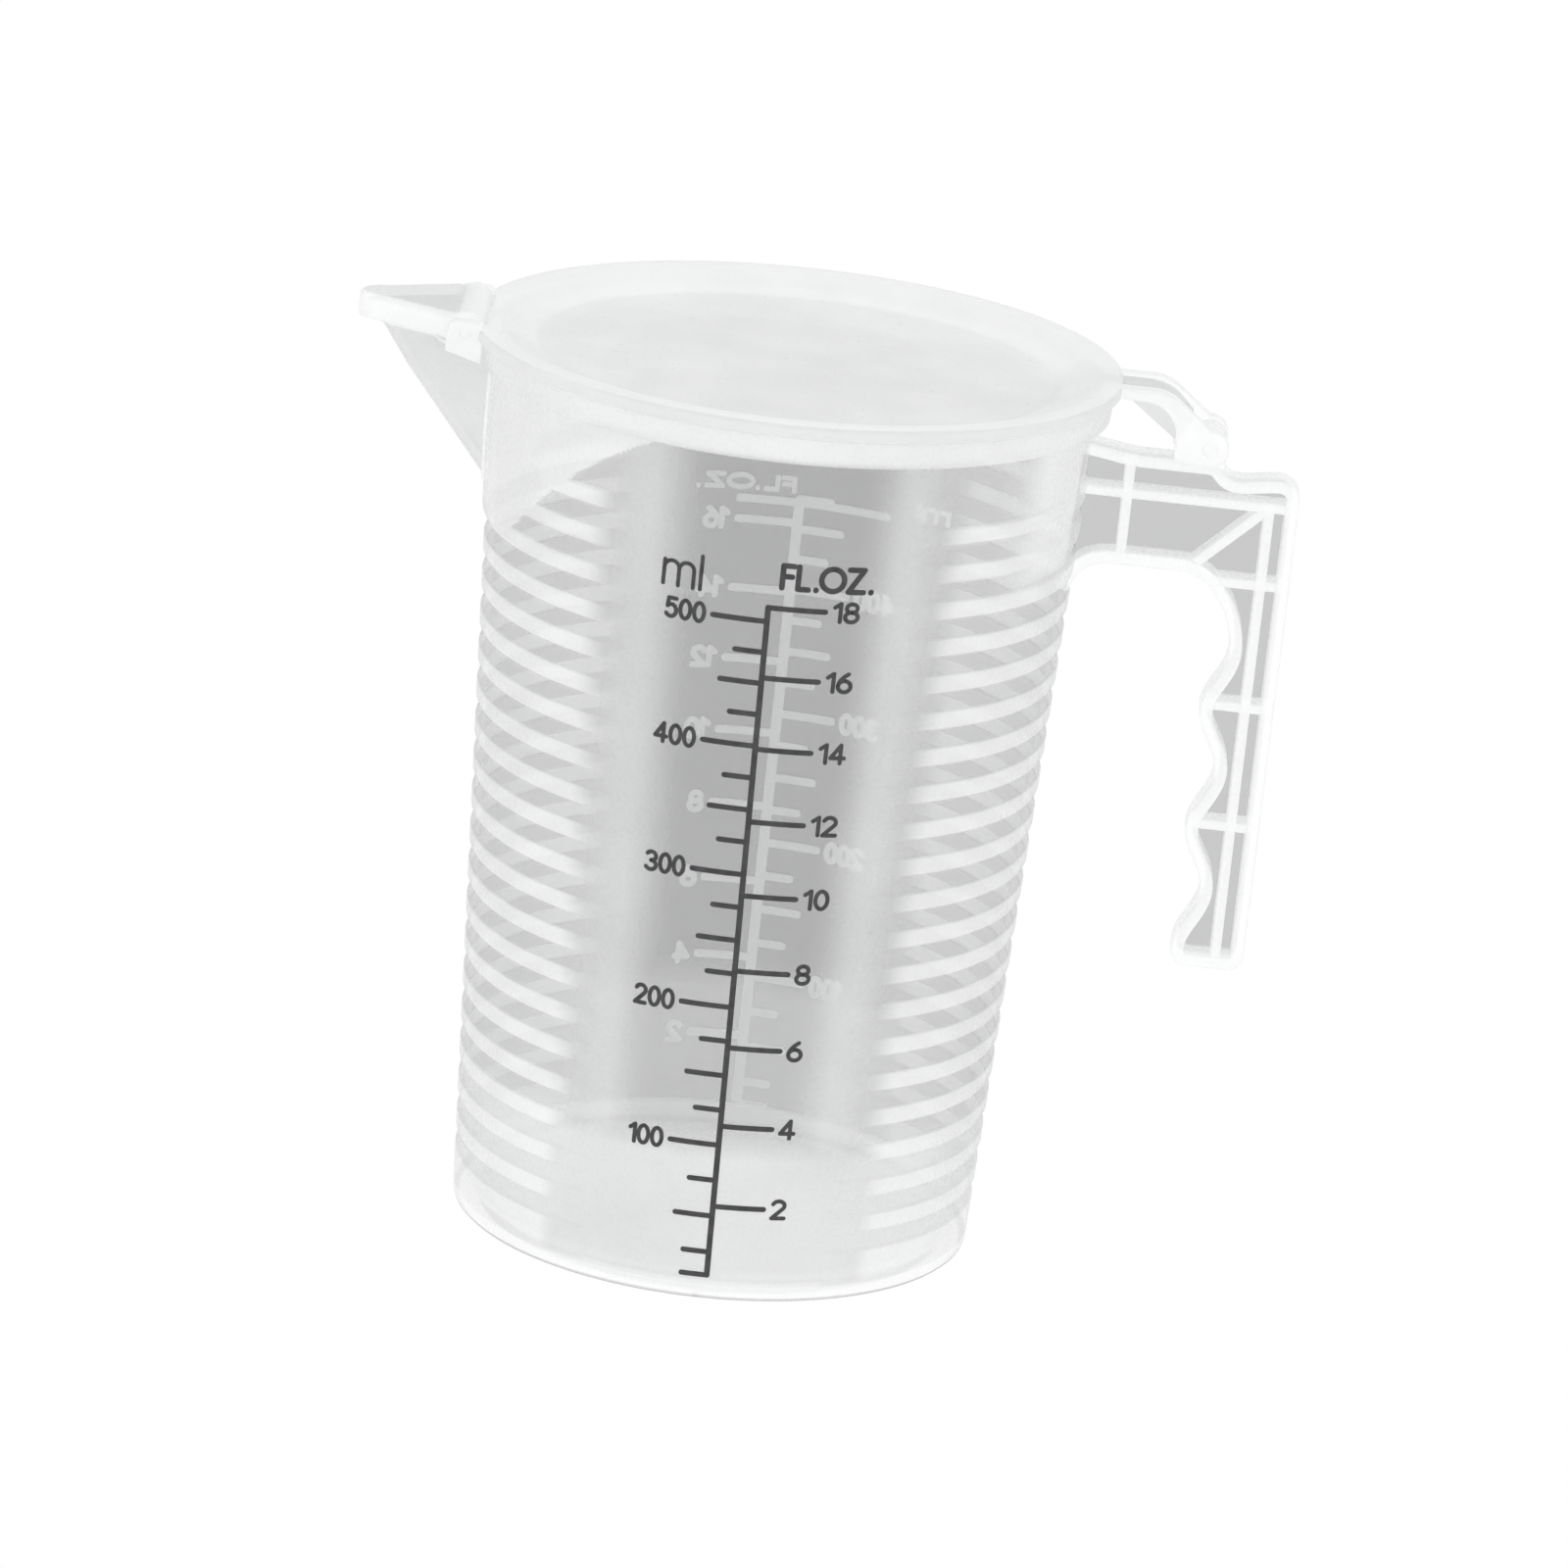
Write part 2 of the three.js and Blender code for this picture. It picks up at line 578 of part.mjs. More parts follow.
// Outline of the handle from the top of its root, over the thumb rest, down the back and up the grip
function handleOutline() {
  const rootX = innerRadius(armTop) - ARM_DEPTH;
  const stepX = lidAxis.x + LID_KNUCKLE_RADIUS / 2;
  const thumbX = stepX + THUMB_STEP;
  const thumbZ = armTop - THUMB_STEP;
  const thumbEndX = handleBackX - THUMB_RADIUS;
  const gripX = (z) => {
    const wave = Math.cos((2 * Math.PI * (z - handleFoot - GRIP_FOOT)) / FINGER_PITCH);
    return handleBackX - GRIP_DEPTH - FINGER_SWELL * wave;
  };
  const gripTop = handleFoot + GRIP_FOOT + FINGER_COUNT * FINGER_PITCH;
  const armBottom = armTop - ARM_DEPTH;
  const gripTopX = gripX(gripTop);
  const cornerX = gripTopX - ARM_CORNER_RUN;
  const levelX = rimWall + ARM_RISE_RUN;
  const outline = new THREE.Shape();
  outline.moveTo(rootX, armTop + ARM_ROOT_SLOPE * (levelX - rootX));
  outline.lineTo(levelX, armTop);
  outline.lineTo(stepX, armTop);
  outline.lineTo(thumbX, thumbZ);
  outline.bezierCurveTo(
    thumbX + THUMB_DIP,
    thumbZ - THUMB_DIP,
    thumbEndX - THUMB_RADIUS,
    thumbZ,
    thumbEndX,
    thumbZ,
  );
  outline.absarc(thumbEndX, thumbZ - THUMB_RADIUS, THUMB_RADIUS, Math.PI / 2, 0, true);
  outline.absarc(handleBackX - FOOT_RADIUS, handleFoot + FOOT_RADIUS, FOOT_RADIUS, 0, -Math.PI / 2, true);
  const footX = gripX(handleFoot + GRIP_FOOT);
  outline.absarc(footX + FOOT_RADIUS, handleFoot + FOOT_RADIUS, FOOT_RADIUS, -Math.PI / 2, -Math.PI, true);
  outline.lineTo(footX, handleFoot + GRIP_FOOT);
  const steps = Math.round(FINGER_COUNT * FINGER_STEPS);
  for (let i = 1; i <= steps; i += 1) {
    const z = handleFoot + GRIP_FOOT + (i / FINGER_STEPS) * FINGER_PITCH;
    outline.lineTo(gripX(z), z);
  }
  outline.bezierCurveTo(
    gripTopX,
    (gripTop + armBottom) / 2,
    (gripTopX + cornerX) / 2,
    armBottom,
    cornerX,
    armBottom,
  );
  outline.lineTo(rimWall + ARM_ROOT_FILLET, armBottom);
  outline.quadraticCurveTo(rimWall, armBottom, rimWall - WALL, armBottom - ARM_ROOT_FILLET);
  outline.lineTo(rootX, armBottom - 2 * ARM_ROOT_FILLET);
  return outline;
}

// Closed outline drawn in by a distance along the bisector at each corner
function drawnIn(points, distance) {
  const count = points.length;
  return points.map((point, i) => {
    const before = point.clone().sub(points[(i + count - 1) % count]).normalize();
    const after = points[(i + 1) % count].clone().sub(point).normalize();
    const inward = new THREE.Vector2(before.y + after.y, -before.x - after.x).normalize();
    const cosine = Math.max(inward.dot(new THREE.Vector2(after.y, -after.x)), MITRE_LIMIT);
    return point.clone().addScaledVector(inward, distance / cosine);
  });
}

// Ribs across the web, as bars between points of the handle's plane
function handleRibs() {
  const backRibX = handleBackX - BACK_RIB_INSET;
  const midRibZ = armTop - MID_RIB_DROP;
  const armBottom = armTop - ARM_DEPTH;
  const postX = rimWall + POST_REACH;
  const at = (x, z) => new THREE.Vector2(x, z);
  const bars = [
    [at(postX, armTop), at(postX, armBottom)],
    [at(rimWall - COLLAR_PROUD, midRibZ), at(handleBackX, midRibZ)],
    [at(backRibX, midRibZ), at(backRibX, handleFoot)],
    [at(backRibX, midRibZ), at(backRibX - STRUT_RUN, armBottom)],
    [at(backRibX - STRUT_RUN, armBottom - PALM_RIB_DROP), at(handleBackX, armBottom - PALM_RIB_DROP)],
  ];
  for (let bump = 1; bump < FINGER_COUNT; bump += 1) {
    const z = handleFoot + GRIP_FOOT + bump * FINGER_PITCH + GRIP_RIB_RISE;
    bars.push([at(handleBackX - GRIP_DEPTH - FINGER_SWELL, z), at(handleBackX, z)]);
  }
  const halfWidth = HANDLE_HALF_WIDTH - HANDLE_RIB_INSET;
  return joined(bars.map(([from, to]) => across(bar(from, to, HANDLE_RIB), halfWidth)));
}

// Lug on the arm that stands between the lid's knuckles
function hingeLug() {
  const radius = LID_KNUCKLE_RADIUS - SEAT_GAP / 2;
  const foot = new THREE.Vector2(lidAxis.x, armTop - HANDLE_FLANGE / 2);
  return across(disc(lidAxis, radius), LUG_HALF_WIDTH)
    .add(across(bar(lidAxis, foot, 2 * radius), LUG_HALF_WIDTH));
}

function handle() {
  const points = handleOutline().getPoints(HANDLE_CURVE_STEPS).reverse();
  const whole = new THREE.Shape(points);
  const inner = drawnIn(points.toReversed(), HANDLE_FLANGE);
  const hollow = across(new THREE.Shape(inner), 2 * HANDLE_HALF_WIDTH);
  const flange = across(whole, HANDLE_HALF_WIDTH).subtract(hollow);
  const web = acrossBetween(whole, HANDLE_HALF_WIDTH - HANDLE_WEB, HANDLE_HALF_WIDTH);
  const inside = across(whole, HANDLE_HALF_WIDTH);
  return joined([flange, web, handleRibs().intersect(inside), hingeLug()])
    .subtract(vesselEnvelope(RIB_PROUD))
    .subtract(pinHole(lidAxis, LID_PIN_RADIUS, LUG_HALF_WIDTH + SEAT_GAP));
}

function plastic(color, opacity, roughness) {
  return new THREE.MeshStandardMaterial({ color, roughness, metalness: 0, transparent: true, opacity });
}

function piece(name, body, material) {
  const mesh = new THREE.Mesh(geometryOf(body), material);
  mesh.name = name;
  return mesh;
}

// Round pin along Y on a hinge axis
function pin(name, axis, radius, halfLength, material) {
  const geometry = new THREE.CylinderGeometry(radius, radius, 2 * halfLength, PIN_SIDES);
  const mesh = new THREE.Mesh(geometry, material);
  mesh.name = name;
  mesh.position.set(axis.x, 0, axis.y);
  return mesh;
}

const jug = new THREE.Group();
jug.add(
  piece('vessel', vessel(), plastic(0xe9ebec, 0.45, 0.25)),
  piece('pouring_spout', pouringSpout(), plastic(0xe6e8e9, 0.5, 0.25)),
  piece('handle', handle(), plastic(0xe4e6e7, 0.6, 0.3)),
  piece('printed_scale', printedScale(),
    new THREE.MeshStandardMaterial({ color: 0x2b2b2d, roughness: 0.6, metalness: 0 })),
  pin('lid_hinge_pin', lidAxis, LID_PIN_RADIUS, TAIL_HALF_WIDTH, plastic(0xf4f5f5, 0.85, 0.3)),
);

const lidGroup = new THREE.Group();
lidGroup.add(
  piece('lid', lid(), plastic(0xf1f2f3, 0.75, 0.28)),
  pin('spout_hinge_pin', coverAxis, COVER_PIN_RADIUS, earOuter, plastic(0xf4f5f5, 0.85, 0.3)),
  piece('spout_cover', spoutCover(), plastic(0xf1f2f3, 0.75, 0.28)),
);
jug.add(lidGroup);

export default jug;
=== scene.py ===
"""Looks of a half-litre measuring jug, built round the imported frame.

Sizes are millimetres in the jug's own frame: the origin is the middle of the base on the table, +Z is up,
the spout points to -X, the handle to +X and the printed scale faces -Y. Meshes are written in metres.
"""

import json
import logging
import math
from dataclasses import dataclass, field
from enum import Enum
from typing import Any

import bmesh
import bpy
import numpy as np
from mathutils import Matrix, Vector
from numpy.typing import NDArray


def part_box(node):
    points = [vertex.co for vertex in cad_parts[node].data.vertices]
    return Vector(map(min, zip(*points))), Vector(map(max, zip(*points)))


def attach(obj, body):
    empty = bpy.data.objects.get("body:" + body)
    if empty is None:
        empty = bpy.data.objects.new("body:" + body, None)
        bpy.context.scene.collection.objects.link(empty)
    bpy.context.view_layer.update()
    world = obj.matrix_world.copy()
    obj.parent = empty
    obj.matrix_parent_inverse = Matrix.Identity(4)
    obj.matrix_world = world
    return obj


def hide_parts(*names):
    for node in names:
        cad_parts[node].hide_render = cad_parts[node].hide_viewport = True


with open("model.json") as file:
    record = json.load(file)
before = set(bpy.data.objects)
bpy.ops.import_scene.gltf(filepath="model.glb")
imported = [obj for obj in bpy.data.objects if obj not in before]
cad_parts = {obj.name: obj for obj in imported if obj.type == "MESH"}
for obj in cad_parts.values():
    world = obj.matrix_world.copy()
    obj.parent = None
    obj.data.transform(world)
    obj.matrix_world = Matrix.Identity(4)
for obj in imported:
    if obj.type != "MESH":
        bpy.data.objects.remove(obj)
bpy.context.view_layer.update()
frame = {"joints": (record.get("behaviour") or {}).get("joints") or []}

Array = NDArray[np.float64]
LOG = logging.getLogger("measuring_jug")
MM = 0.001
WELD = 1e-7
TINY = 1e-9
SHARP_EDGE = math.radians(38)
END_RING = 0.12
MOST_CORNER = 0.49
LEAST_COSINE = 0.5
HALVINGS = 30
SOFT_STEPS = 6
CURVE_STEPS = 16
CORNER_STEPS = 10
BEAD_SIDES = 10
FULL_TURN = 360.0
FRONT_TURN = 90.0
HANDLE_TURN = 180.0
BACK_TURN = 270.0
CUBIC_MM_PER_ML = 1000.0
NOISE_SPAN = (0.3, 0.7)
MILK = "milk"
CLEAR = "clear"


class Body(Enum):
    """Bodies of the frame that pieces ride on."""

    JUG = "jug"
    LID = "lid"
    SPOUT_COVER = "spout_cover"


class Slot(Enum):
    """Material slots of the record."""

    CLEAR = "clear_plastic"
    MILKY = "milky_plastic"
    INK = "black_ink"


class Plane(Enum):
    """Plane of a flat outline, and the axis that it is stacked along."""

    PLAN = (0, 1, 2)
    SIDE = (0, 2, 1)


class Side(Enum):
    """Side of the wall that a scale lies on."""

    FRONT = -1
    BACK = 1


class Align(Enum):
    """End of a label that stands at its anchor."""

    LEFT = 0
    RIGHT = 1


def smoothstep(start: float, end: float, value: Array) -> Array:
    """Rise from 0 at start to 1 at end along a cubic that is level at both.

    Args:
        start: Value at which the step is 0; it may be above end.
        end: Value at which the step is 1.
        value: Values to map.

    Returns:
        Steps of the same shape as value.
    """
    share = np.clip((value - start) / (end - start), 0.0, 1.0)
    return share * share * (3.0 - 2.0 * share)


def arc(centre: tuple[float, float], radii: tuple[float, float], start: float, end: float, steps: int) -> Array:
    """Points of an elliptical arc: centre plus the radii times cosine and sine of the angle.

    Args:
        centre: Middle of the ellipse.
        radii: Half axes.
        start: First angle in degrees.
        end: Last angle in degrees.
        steps: Number of points.

    Returns:
        Points, steps by 2.
    """
    turn = np.radians(np.linspace(start, end, steps))
    return np.stack([centre[0] + radii[0] * np.cos(turn), centre[1] + radii[1] * np.sin(turn)], axis=1)


def bezier(controls: list[tuple[float, float]], steps: int) -> Array:
    """Points of a cubic curve: its four controls weighted by the cubic Bernstein terms.

    Args:
        controls: Start, two controls and end.
        steps: Number of points.

    Returns:
        Points, steps by 2.
    """
    t = np.linspace(0.0, 1.0, steps)[:, None]
    weights = np.hstack([(1 - t) ** 3, 3 * t * (1 - t) ** 2, 3 * t * t * (1 - t), t**3])
    return weights @ np.array(controls, float)


def softened(corners: Array, reach: Array | float, closed: bool = True,
             steps: int = SOFT_STEPS) -> Array:
    """Round the corners of an outline: each becomes a quadratic curve between points on its two sides.

    Args:
        corners: Corner points, n by 2.
        reach: How far from each corner its curve starts; half the shorter side is the most.
        closed: Whether the last corner joins the first; the ends of an open line stay.
        steps: Points for each corner.

    Returns:
        Points of the rounded outline.
    """
    corners = np.asarray(corners, float)
    before = np.roll(corners, 1, axis=0) - corners
    after = np.roll(corners, -1, axis=0) - corners
    before_length = np.linalg.norm(before, axis=1)
    after_length = np.linalg.norm(after, axis=1)
    most = MOST_CORNER * np.minimum(before_length, after_length)
    reach = np.minimum(np.broadcast_to(reach, len(corners)), most)
    if not closed:
        reach = np.concatenate([[0.0], reach[1:-1], [0.0]])
    start = corners + before * (reach / before_length)[:, None]
    end = corners + after * (reach / after_length)[:, None]
    t = np.linspace(0.0, 1.0, steps)[None, :, None]
    curves = (1 - t) ** 2 * start[:, None] + 2 * t * (1 - t) * corners[:, None] + t * t * end[:, None]
    return curves.reshape(-1, 2)


def resampled(path: Array, count: int) -> Array:
    """Even spacing along a line: points at equal shares of its length.

    Args:
        path: Points of an open line, n by 2.
        count: Number of points wanted.

    Returns:
        Points, count by 2.
    """
    run = np.concatenate([[0.0], np.cumsum(np.linalg.norm(np.diff(path, axis=0), axis=1))])
    wanted = np.linspace(0.0, run[-1], count)
    return np.stack([np.interp(wanted, run, path[:, 0]), np.interp(wanted, run, path[:, 1])], axis=1)


def right_normals(path: Array) -> Array:
    """Unit normals to the right of an open line, from the differences of its neighbours."""
    along = np.gradient(path, axis=0)
    along /= np.linalg.norm(along, axis=1, keepdims=True)
    return np.stack([along[:, 1], -along[:, 0]], axis=1)


def inset(outline: Array, distance: float) -> Array:
    """Draw a closed outline in by a distance along the mean normal of its two sides, stretched at corners.

    Args:
        outline: Points in order round the outline, n by 2.
        distance: How far the sides move inwards.

    Returns:
        Points of the smaller outline.
    """
    after = np.roll(outline, -1, axis=0) - outline
    after /= np.maximum(np.linalg.norm(after, axis=1, keepdims=True), TINY)
    before = np.roll(after, 1, axis=0)
    x, y = outline.T
    turn = np.sign(np.sum(x * np.roll(y, -1) - np.roll(x, -1) * y))
    normal = np.stack([-(before + after)[:, 1], (before + after)[:, 0]], axis=1) * turn
    normal /= np.maximum(np.linalg.norm(normal, axis=1, keepdims=True), TINY)
    side = np.stack([-after[:, 1], after[:, 0]], axis=1) * turn
    cosine = np.maximum(np.sum(normal * side, axis=1, keepdims=True), LEAST_COSINE)
    return outline + normal * distance / cosine


def rounded_ends(low: float, high: float, radius: float, steps: int = 5) -> tuple[Array, Array]:
    """Insets and heights of a stack whose two end edges are quarter rounds, with a level ring inside each end.

    Args:
        low: Lower end.
        high: Upper end.
        radius: Radius of both edges.
        steps: Rows for each edge.

    Returns:
        Insets and heights, from low to high.
    """
    turn = np.linspace(0.0, math.pi / 2, steps)
    insets = radius * (1 - np.sin(turn))
    rise = radius * (1 - np.cos(turn))
    level = [radius + END_RING]
    return (np.concatenate([level, insets, insets[::-1], level]),
            np.concatenate([[low], low + rise, high - rise[::-1], [high]]))


@dataclass
class Patchwork:
    """Closed patches of surface, in millimetres, that become one mesh.

    Attributes:
        points: Vertex blocks, each n by 3.
        milk: How thick and milky the plastic is at each vertex, from 0 to 1; on the cup and the lid it also
            carries painted light and shade.
        clear: How much of its cover the plastic lacks at each vertex, from 0 to 1.
        faces: Face index blocks.
        count: Vertices so far.
    """

    points: list[Array] = field(default_factory=list)
    milk: list[Array] = field(default_factory=list)
    clear: list[Array] = field(default_factory=list)
    faces: list[list[list[int]]] = field(default_factory=list)
    count: int = 0

    def grid(self, points: Array, milk: Array | float, clear: Array | float = 0.0, caps: bool = False) -> None:
        """Add a grid of quads whose columns close on themselves.

        Args:
            points: Vertices, rows by columns by 3.
            milk: Milkiness for all of them or for each.
            clear: Clearness for all of them or for each.
            caps: Whether the first and last rows are closed by a flat face.
        """
        rows, columns = points.shape[:2]
        index = self.count + np.arange(rows * columns).reshape(rows, columns)
        here, above = index[:-1], index[1:]
        quads = [here, np.roll(here, -1, axis=1), np.roll(above, -1, axis=1), above]
        self.faces.append(np.stack(quads, axis=-1).reshape(-1, 4).tolist())
        if caps:
            self.faces.append([index[0].tolist(), index[-1].tolist()])
        self.points.append(points.reshape(-1, 3))
        self.milk.append(np.broadcast_to(milk, (rows, columns)).ravel())
        self.clear.append(np.broadcast_to(clear, (rows, columns)).ravel())
        self.count += rows * columns

    def stack(self, outline: Array, insets: Array, heights: Array, milk: Array | float, plane: Plane,
              clear: float = 0.0) -> None:
        """Add copies of a closed outline, each drawn in and set at its height, skinned and capped.

        Args:
            outline: Points in the plane, n by 2.
            insets: How far each copy is drawn in.
            heights: Where each copy stands along the stacking axis.
            milk: Milkiness for all copies or, as a column, for each.
            plane: Plane of the outline.
            clear: Clearness.
        """
        flat = np.stack([inset(outline, distance) for distance in insets])
        level = np.broadcast_to(np.asarray(heights)[:, None, None], (*flat.shape[:2], 1))
        self.grid(np.concatenate([flat, level], axis=2)[:, :, list(plane.value)], milk, clear, caps=True)

    def sweep(self, path: Array, section: Array, milk: Array | float) -> None:
        """Add a closed section carried along a line in X and Z.

        Each point is the path point plus the section's first coordinate along the line's right normal and its
        second along Y.

        Args:
            path: Points in X and Z, n by 2.
            section: Points of the section, m by 2.
            milk: Milkiness.
        """
        flat = path[:, None] + section[None, :, :1] * right_normals(path)[:, None]
        level = np.broadcast_to(section[None, :, 1:], (*flat.shape[:2], 1))
        self.grid(np.concatenate([flat[:, :, :1], level, flat[:, :, 1:]], axis=2), milk, caps=True)

    def make(self, name: str, material: bpy.types.Material, body: Body, slot: Slot, *nodes: str) -> None:
        """Weld the patches into one object that rides on a body and stands for frame nodes.

        Args:
            name: Name of the piece.
            material: Its finish.
            body: Body that it rides on.
            slot: Material slot of the record; not used.
            nodes: Frame nodes that it replaces.
        """
        mesh = bpy.data.meshes.new(name)
        mesh.from_pydata(np.concatenate(self.points) * MM, [], [face for block in self.faces for face in block])
        for kind, values in ((MILK, self.milk), (CLEAR, self.clear)):
            attribute = mesh.attributes.new(kind, "FLOAT", "POINT")
            attribute.data.foreach_set("value", np.concatenate(values).astype(np.float32))
        welded = bmesh.new()
        welded.from_mesh(mesh)
        bmesh.ops.remove_doubles(welded, verts=welded.verts, dist=WELD)
        bmesh.ops.recalc_face_normals(welded, faces=welded.faces)
        welded.to_mesh(mesh)
        welded.free()
        mesh.shade_smooth()
        mesh.set_sharp_from_angle(angle=SHARP_EDGE)
        mesh.materials.append(material)
        piece = bpy.data.objects.new(name, mesh)
        bpy.context.scene.collection.objects.link(piece)
        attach(piece, body.value)
        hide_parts(*nodes)
        LOG.info("%s: %d faces on %s", name, len(mesh.polygons), body.value)


def lathe(radius: Array, height: Array, angle: Array) -> Array:
    """Turn a profile round Z: the angle runs from the spout's -X towards the front's -Y.

    Args:
        radius: Radii, rows by columns or rows by 1.
        height: Heights of the same shape.
        angle: Angles of the columns in radians.

    Returns:
        Points, rows by columns by 3.
    """
    radius, height, angle = np.broadcast_arrays(radius, height, angle[None, :])
    return np.stack([-radius * np.cos(angle), -radius * np.sin(angle), height], axis=2)


def spread(*stretches: tuple[float, float, float]) -> Array:
    """Angles in radians from stretches of (start, end, step) in degrees, each without its end."""
    return np.radians(np.concatenate([np.arange(*stretch) for stretch in stretches]))


class NodeGraph:
    """Short way to add nodes to a node tree and to link them."""

    def __init__(self, tree: bpy.types.NodeTree) -> None:
        """Empty the tree and keep it."""
        self.tree = tree
        tree.nodes.clear()

    def add(self, kind: str, inputs: dict[str | int, Any] | None = None, **settings: Any) -> bpy.types.Node:
        """Add a node.

        Args:
            kind: Type name of the node.
            inputs: Socket names or numbers with a constant, or the socket to link.
            settings: Properties of the node.

        Returns:
            The new node.
        """
        node = self.tree.nodes.new(kind)
        for key, value in settings.items():
            setattr(node, key, value)
        for key, value in (inputs or {}).items():
            if isinstance(value, bpy.types.NodeSocket):
                self.tree.links.new(value, node.inputs[key])
            else:
                node.inputs[key].default_value = value
        return node

    def noise(self, scale: float, detail: float) -> bpy.types.NodeSocket:
        """Noise on the piece's own coordinates, with the scale per metre."""
        place = self.add("ShaderNodeTexCoord").outputs["Object"]
        return self.add("ShaderNodeTexNoise", {"Vector": place, "Scale": scale, "Detail": detail}).outputs[0]

    def ranged(self, value: bpy.types.NodeSocket, source: tuple[float, float],
               target: tuple[float | bpy.types.NodeSocket, float]) -> bpy.types.NodeSocket:
        """Map a value from one range to another and clamp it."""
        limits = {1: source[0], 2: source[1], 3: target[0], 4: target[1]}
        return self.add("ShaderNodeMapRange", {0: value, **limits}, clamp=True).outputs[0]

    def times(self, one: bpy.types.NodeSocket, other: bpy.types.NodeSocket) -> bpy.types.NodeSocket:
        """Product of two values."""
        return self.add("ShaderNodeMath", {0: one, 1: other}, operation="MULTIPLY").outputs[0]

    def larger(self, one: bpy.types.NodeSocket, other: bpy.types.NodeSocket) -> bpy.types.NodeSocket:
        """The larger of two values."""
        return self.add("ShaderNodeMath", {0: one, 1: other}, operation="MAXIMUM").outputs[0]

    def mixed(self, share: bpy.types.NodeSocket, low: tuple[float, ...],
              high: tuple[float, ...]) -> bpy.types.NodeSocket:
        """Blend two colours by a share."""
        inputs = {0: share, 6: (*low, 1.0), 7: (*high, 1.0)}
        return self.add("ShaderNodeMix", inputs, data_type="RGBA").outputs[2]


@dataclass(frozen=True)
class TranslucentPlastic:
    """Polypropylene: grey and see-through where it is thin, white and milky where it is thick.

    Attributes:
        name: Name of the material.
        thin_tone: Colour of thin plastic.
        thick_tone: Colour of thick plastic.
        white_from: Milkiness at which the plastic has its thick colour.
        alpha: Cover of one thin and of one thick surface.
        passing: Share of the scattered light that passes through to the other side.
        shade: Share of the cover that holds back light, which plastic scatters on into the cup.
        roughness: Least and most roughness over the fine grain.
        cloud_scale: Soft clouds in the plastic, per metre.
        cloud_depth: How much the clouds change the milkiness.
        grain_scale: Fine grain of the moulded skin, per metre.
        ripple_scale: Slow ripple of the moulded skin, per metre.
        ripple_height: Height of the ripple in metres.
        ripple_strength: Strength of the ripple.
        details: Detail of the clouds', the ripple's and the grain's noise.
        refraction: Index of refraction.
    """

    name: str
    thin_tone: tuple[float, float, float] = (0.15, 0.153, 0.156)
    thick_tone: tuple[float, float, float] = (0.95, 0.954, 0.957)
    white_from: float = 0.7
    alpha: tuple[float, float] = (0.4, 0.8)
    passing: float = 0.45
    shade: float = 0.12
    roughness: tuple[float, float] = (0.24, 0.32)
    cloud_scale: float = 60.0
    cloud_depth: float = 0.03
    grain_scale: float = 1500.0
    ripple_scale: float = 160.0
    ripple_height: float = 0.0001
    ripple_strength: float = 0.5
    details: tuple[float, float, float] = (3.0, 2.0, 4.0)
    refraction: float = 1.49

    def material(self) -> bpy.types.Material:
        """Make the node material: gloss and scattered light from both sides, over what lies behind.

        Returns:
            The material, which reads the milkiness and the clearness of the mesh.
        """
        made = bpy.data.materials.new(self.name)
        made.use_nodes = True
        graph = NodeGraph(made.node_tree)
        thickness = graph.add("ShaderNodeAttribute", attribute_name=MILK).outputs["Fac"]
        clear = graph.add("ShaderNodeAttribute", attribute_name=CLEAR).outputs["Fac"]
        cloud_detail, ripple_detail, grain_detail = self.details
        clouds = graph.noise(self.cloud_scale, cloud_detail)
        drift = graph.ranged(clouds, NOISE_SPAN, (-self.cloud_depth, self.cloud_depth))
        milk = graph.add("ShaderNodeMath", {0: thickness, 1: drift}, operation="ADD", use_clamp=True).outputs[0]
        ripple = graph.noise(self.ripple_scale, ripple_detail)
        height = {"Height": ripple, "Strength": self.ripple_strength, "Distance": self.ripple_height}
        bump = graph.add("ShaderNodeBump", height)
        tone = graph.mixed(graph.ranged(milk, (0.0, self.white_from), (0.0, 1.0)), self.thin_tone, self.thick_tone)
        path = graph.add("ShaderNodeLightPath")
        lighting = graph.larger(path.outputs["Is Shadow Ray"], path.outputs["Is Diffuse Ray"])
        held = graph.ranged(lighting, (0.0, 1.0), (1.0, self.shade))
        kept = graph.ranged(clear, (0.0, 1.0), (1.0, 0.0))
        cover = graph.times(graph.ranged(milk, (0.0, 1.0), self.alpha), kept)
        grain = graph.noise(self.grain_scale, grain_detail)
        skin = graph.add("ShaderNodeBsdfPrincipled", {
            "Base Color": tone,
            "Roughness": graph.ranged(grain, NOISE_SPAN, self.roughness),
            "Normal": bump.outputs[0],
            "IOR": self.refraction,
        })
        glow = graph.add("ShaderNodeBsdfTranslucent", {"Color": tone})
        plastic = graph.add("ShaderNodeMixShader", {0: self.passing, 1: skin.outputs[0], 2: glow.outputs[0]})
        behind = graph.add("ShaderNodeBsdfTransparent")
        layers = {0: graph.times(cover, held), 1: behind.outputs[0], 2: plastic.outputs[0]}
        seen = graph.add("ShaderNodeMixShader", layers)
        graph.add("ShaderNodeOutputMaterial", {"Surface": seen.outputs[0]})
        return made


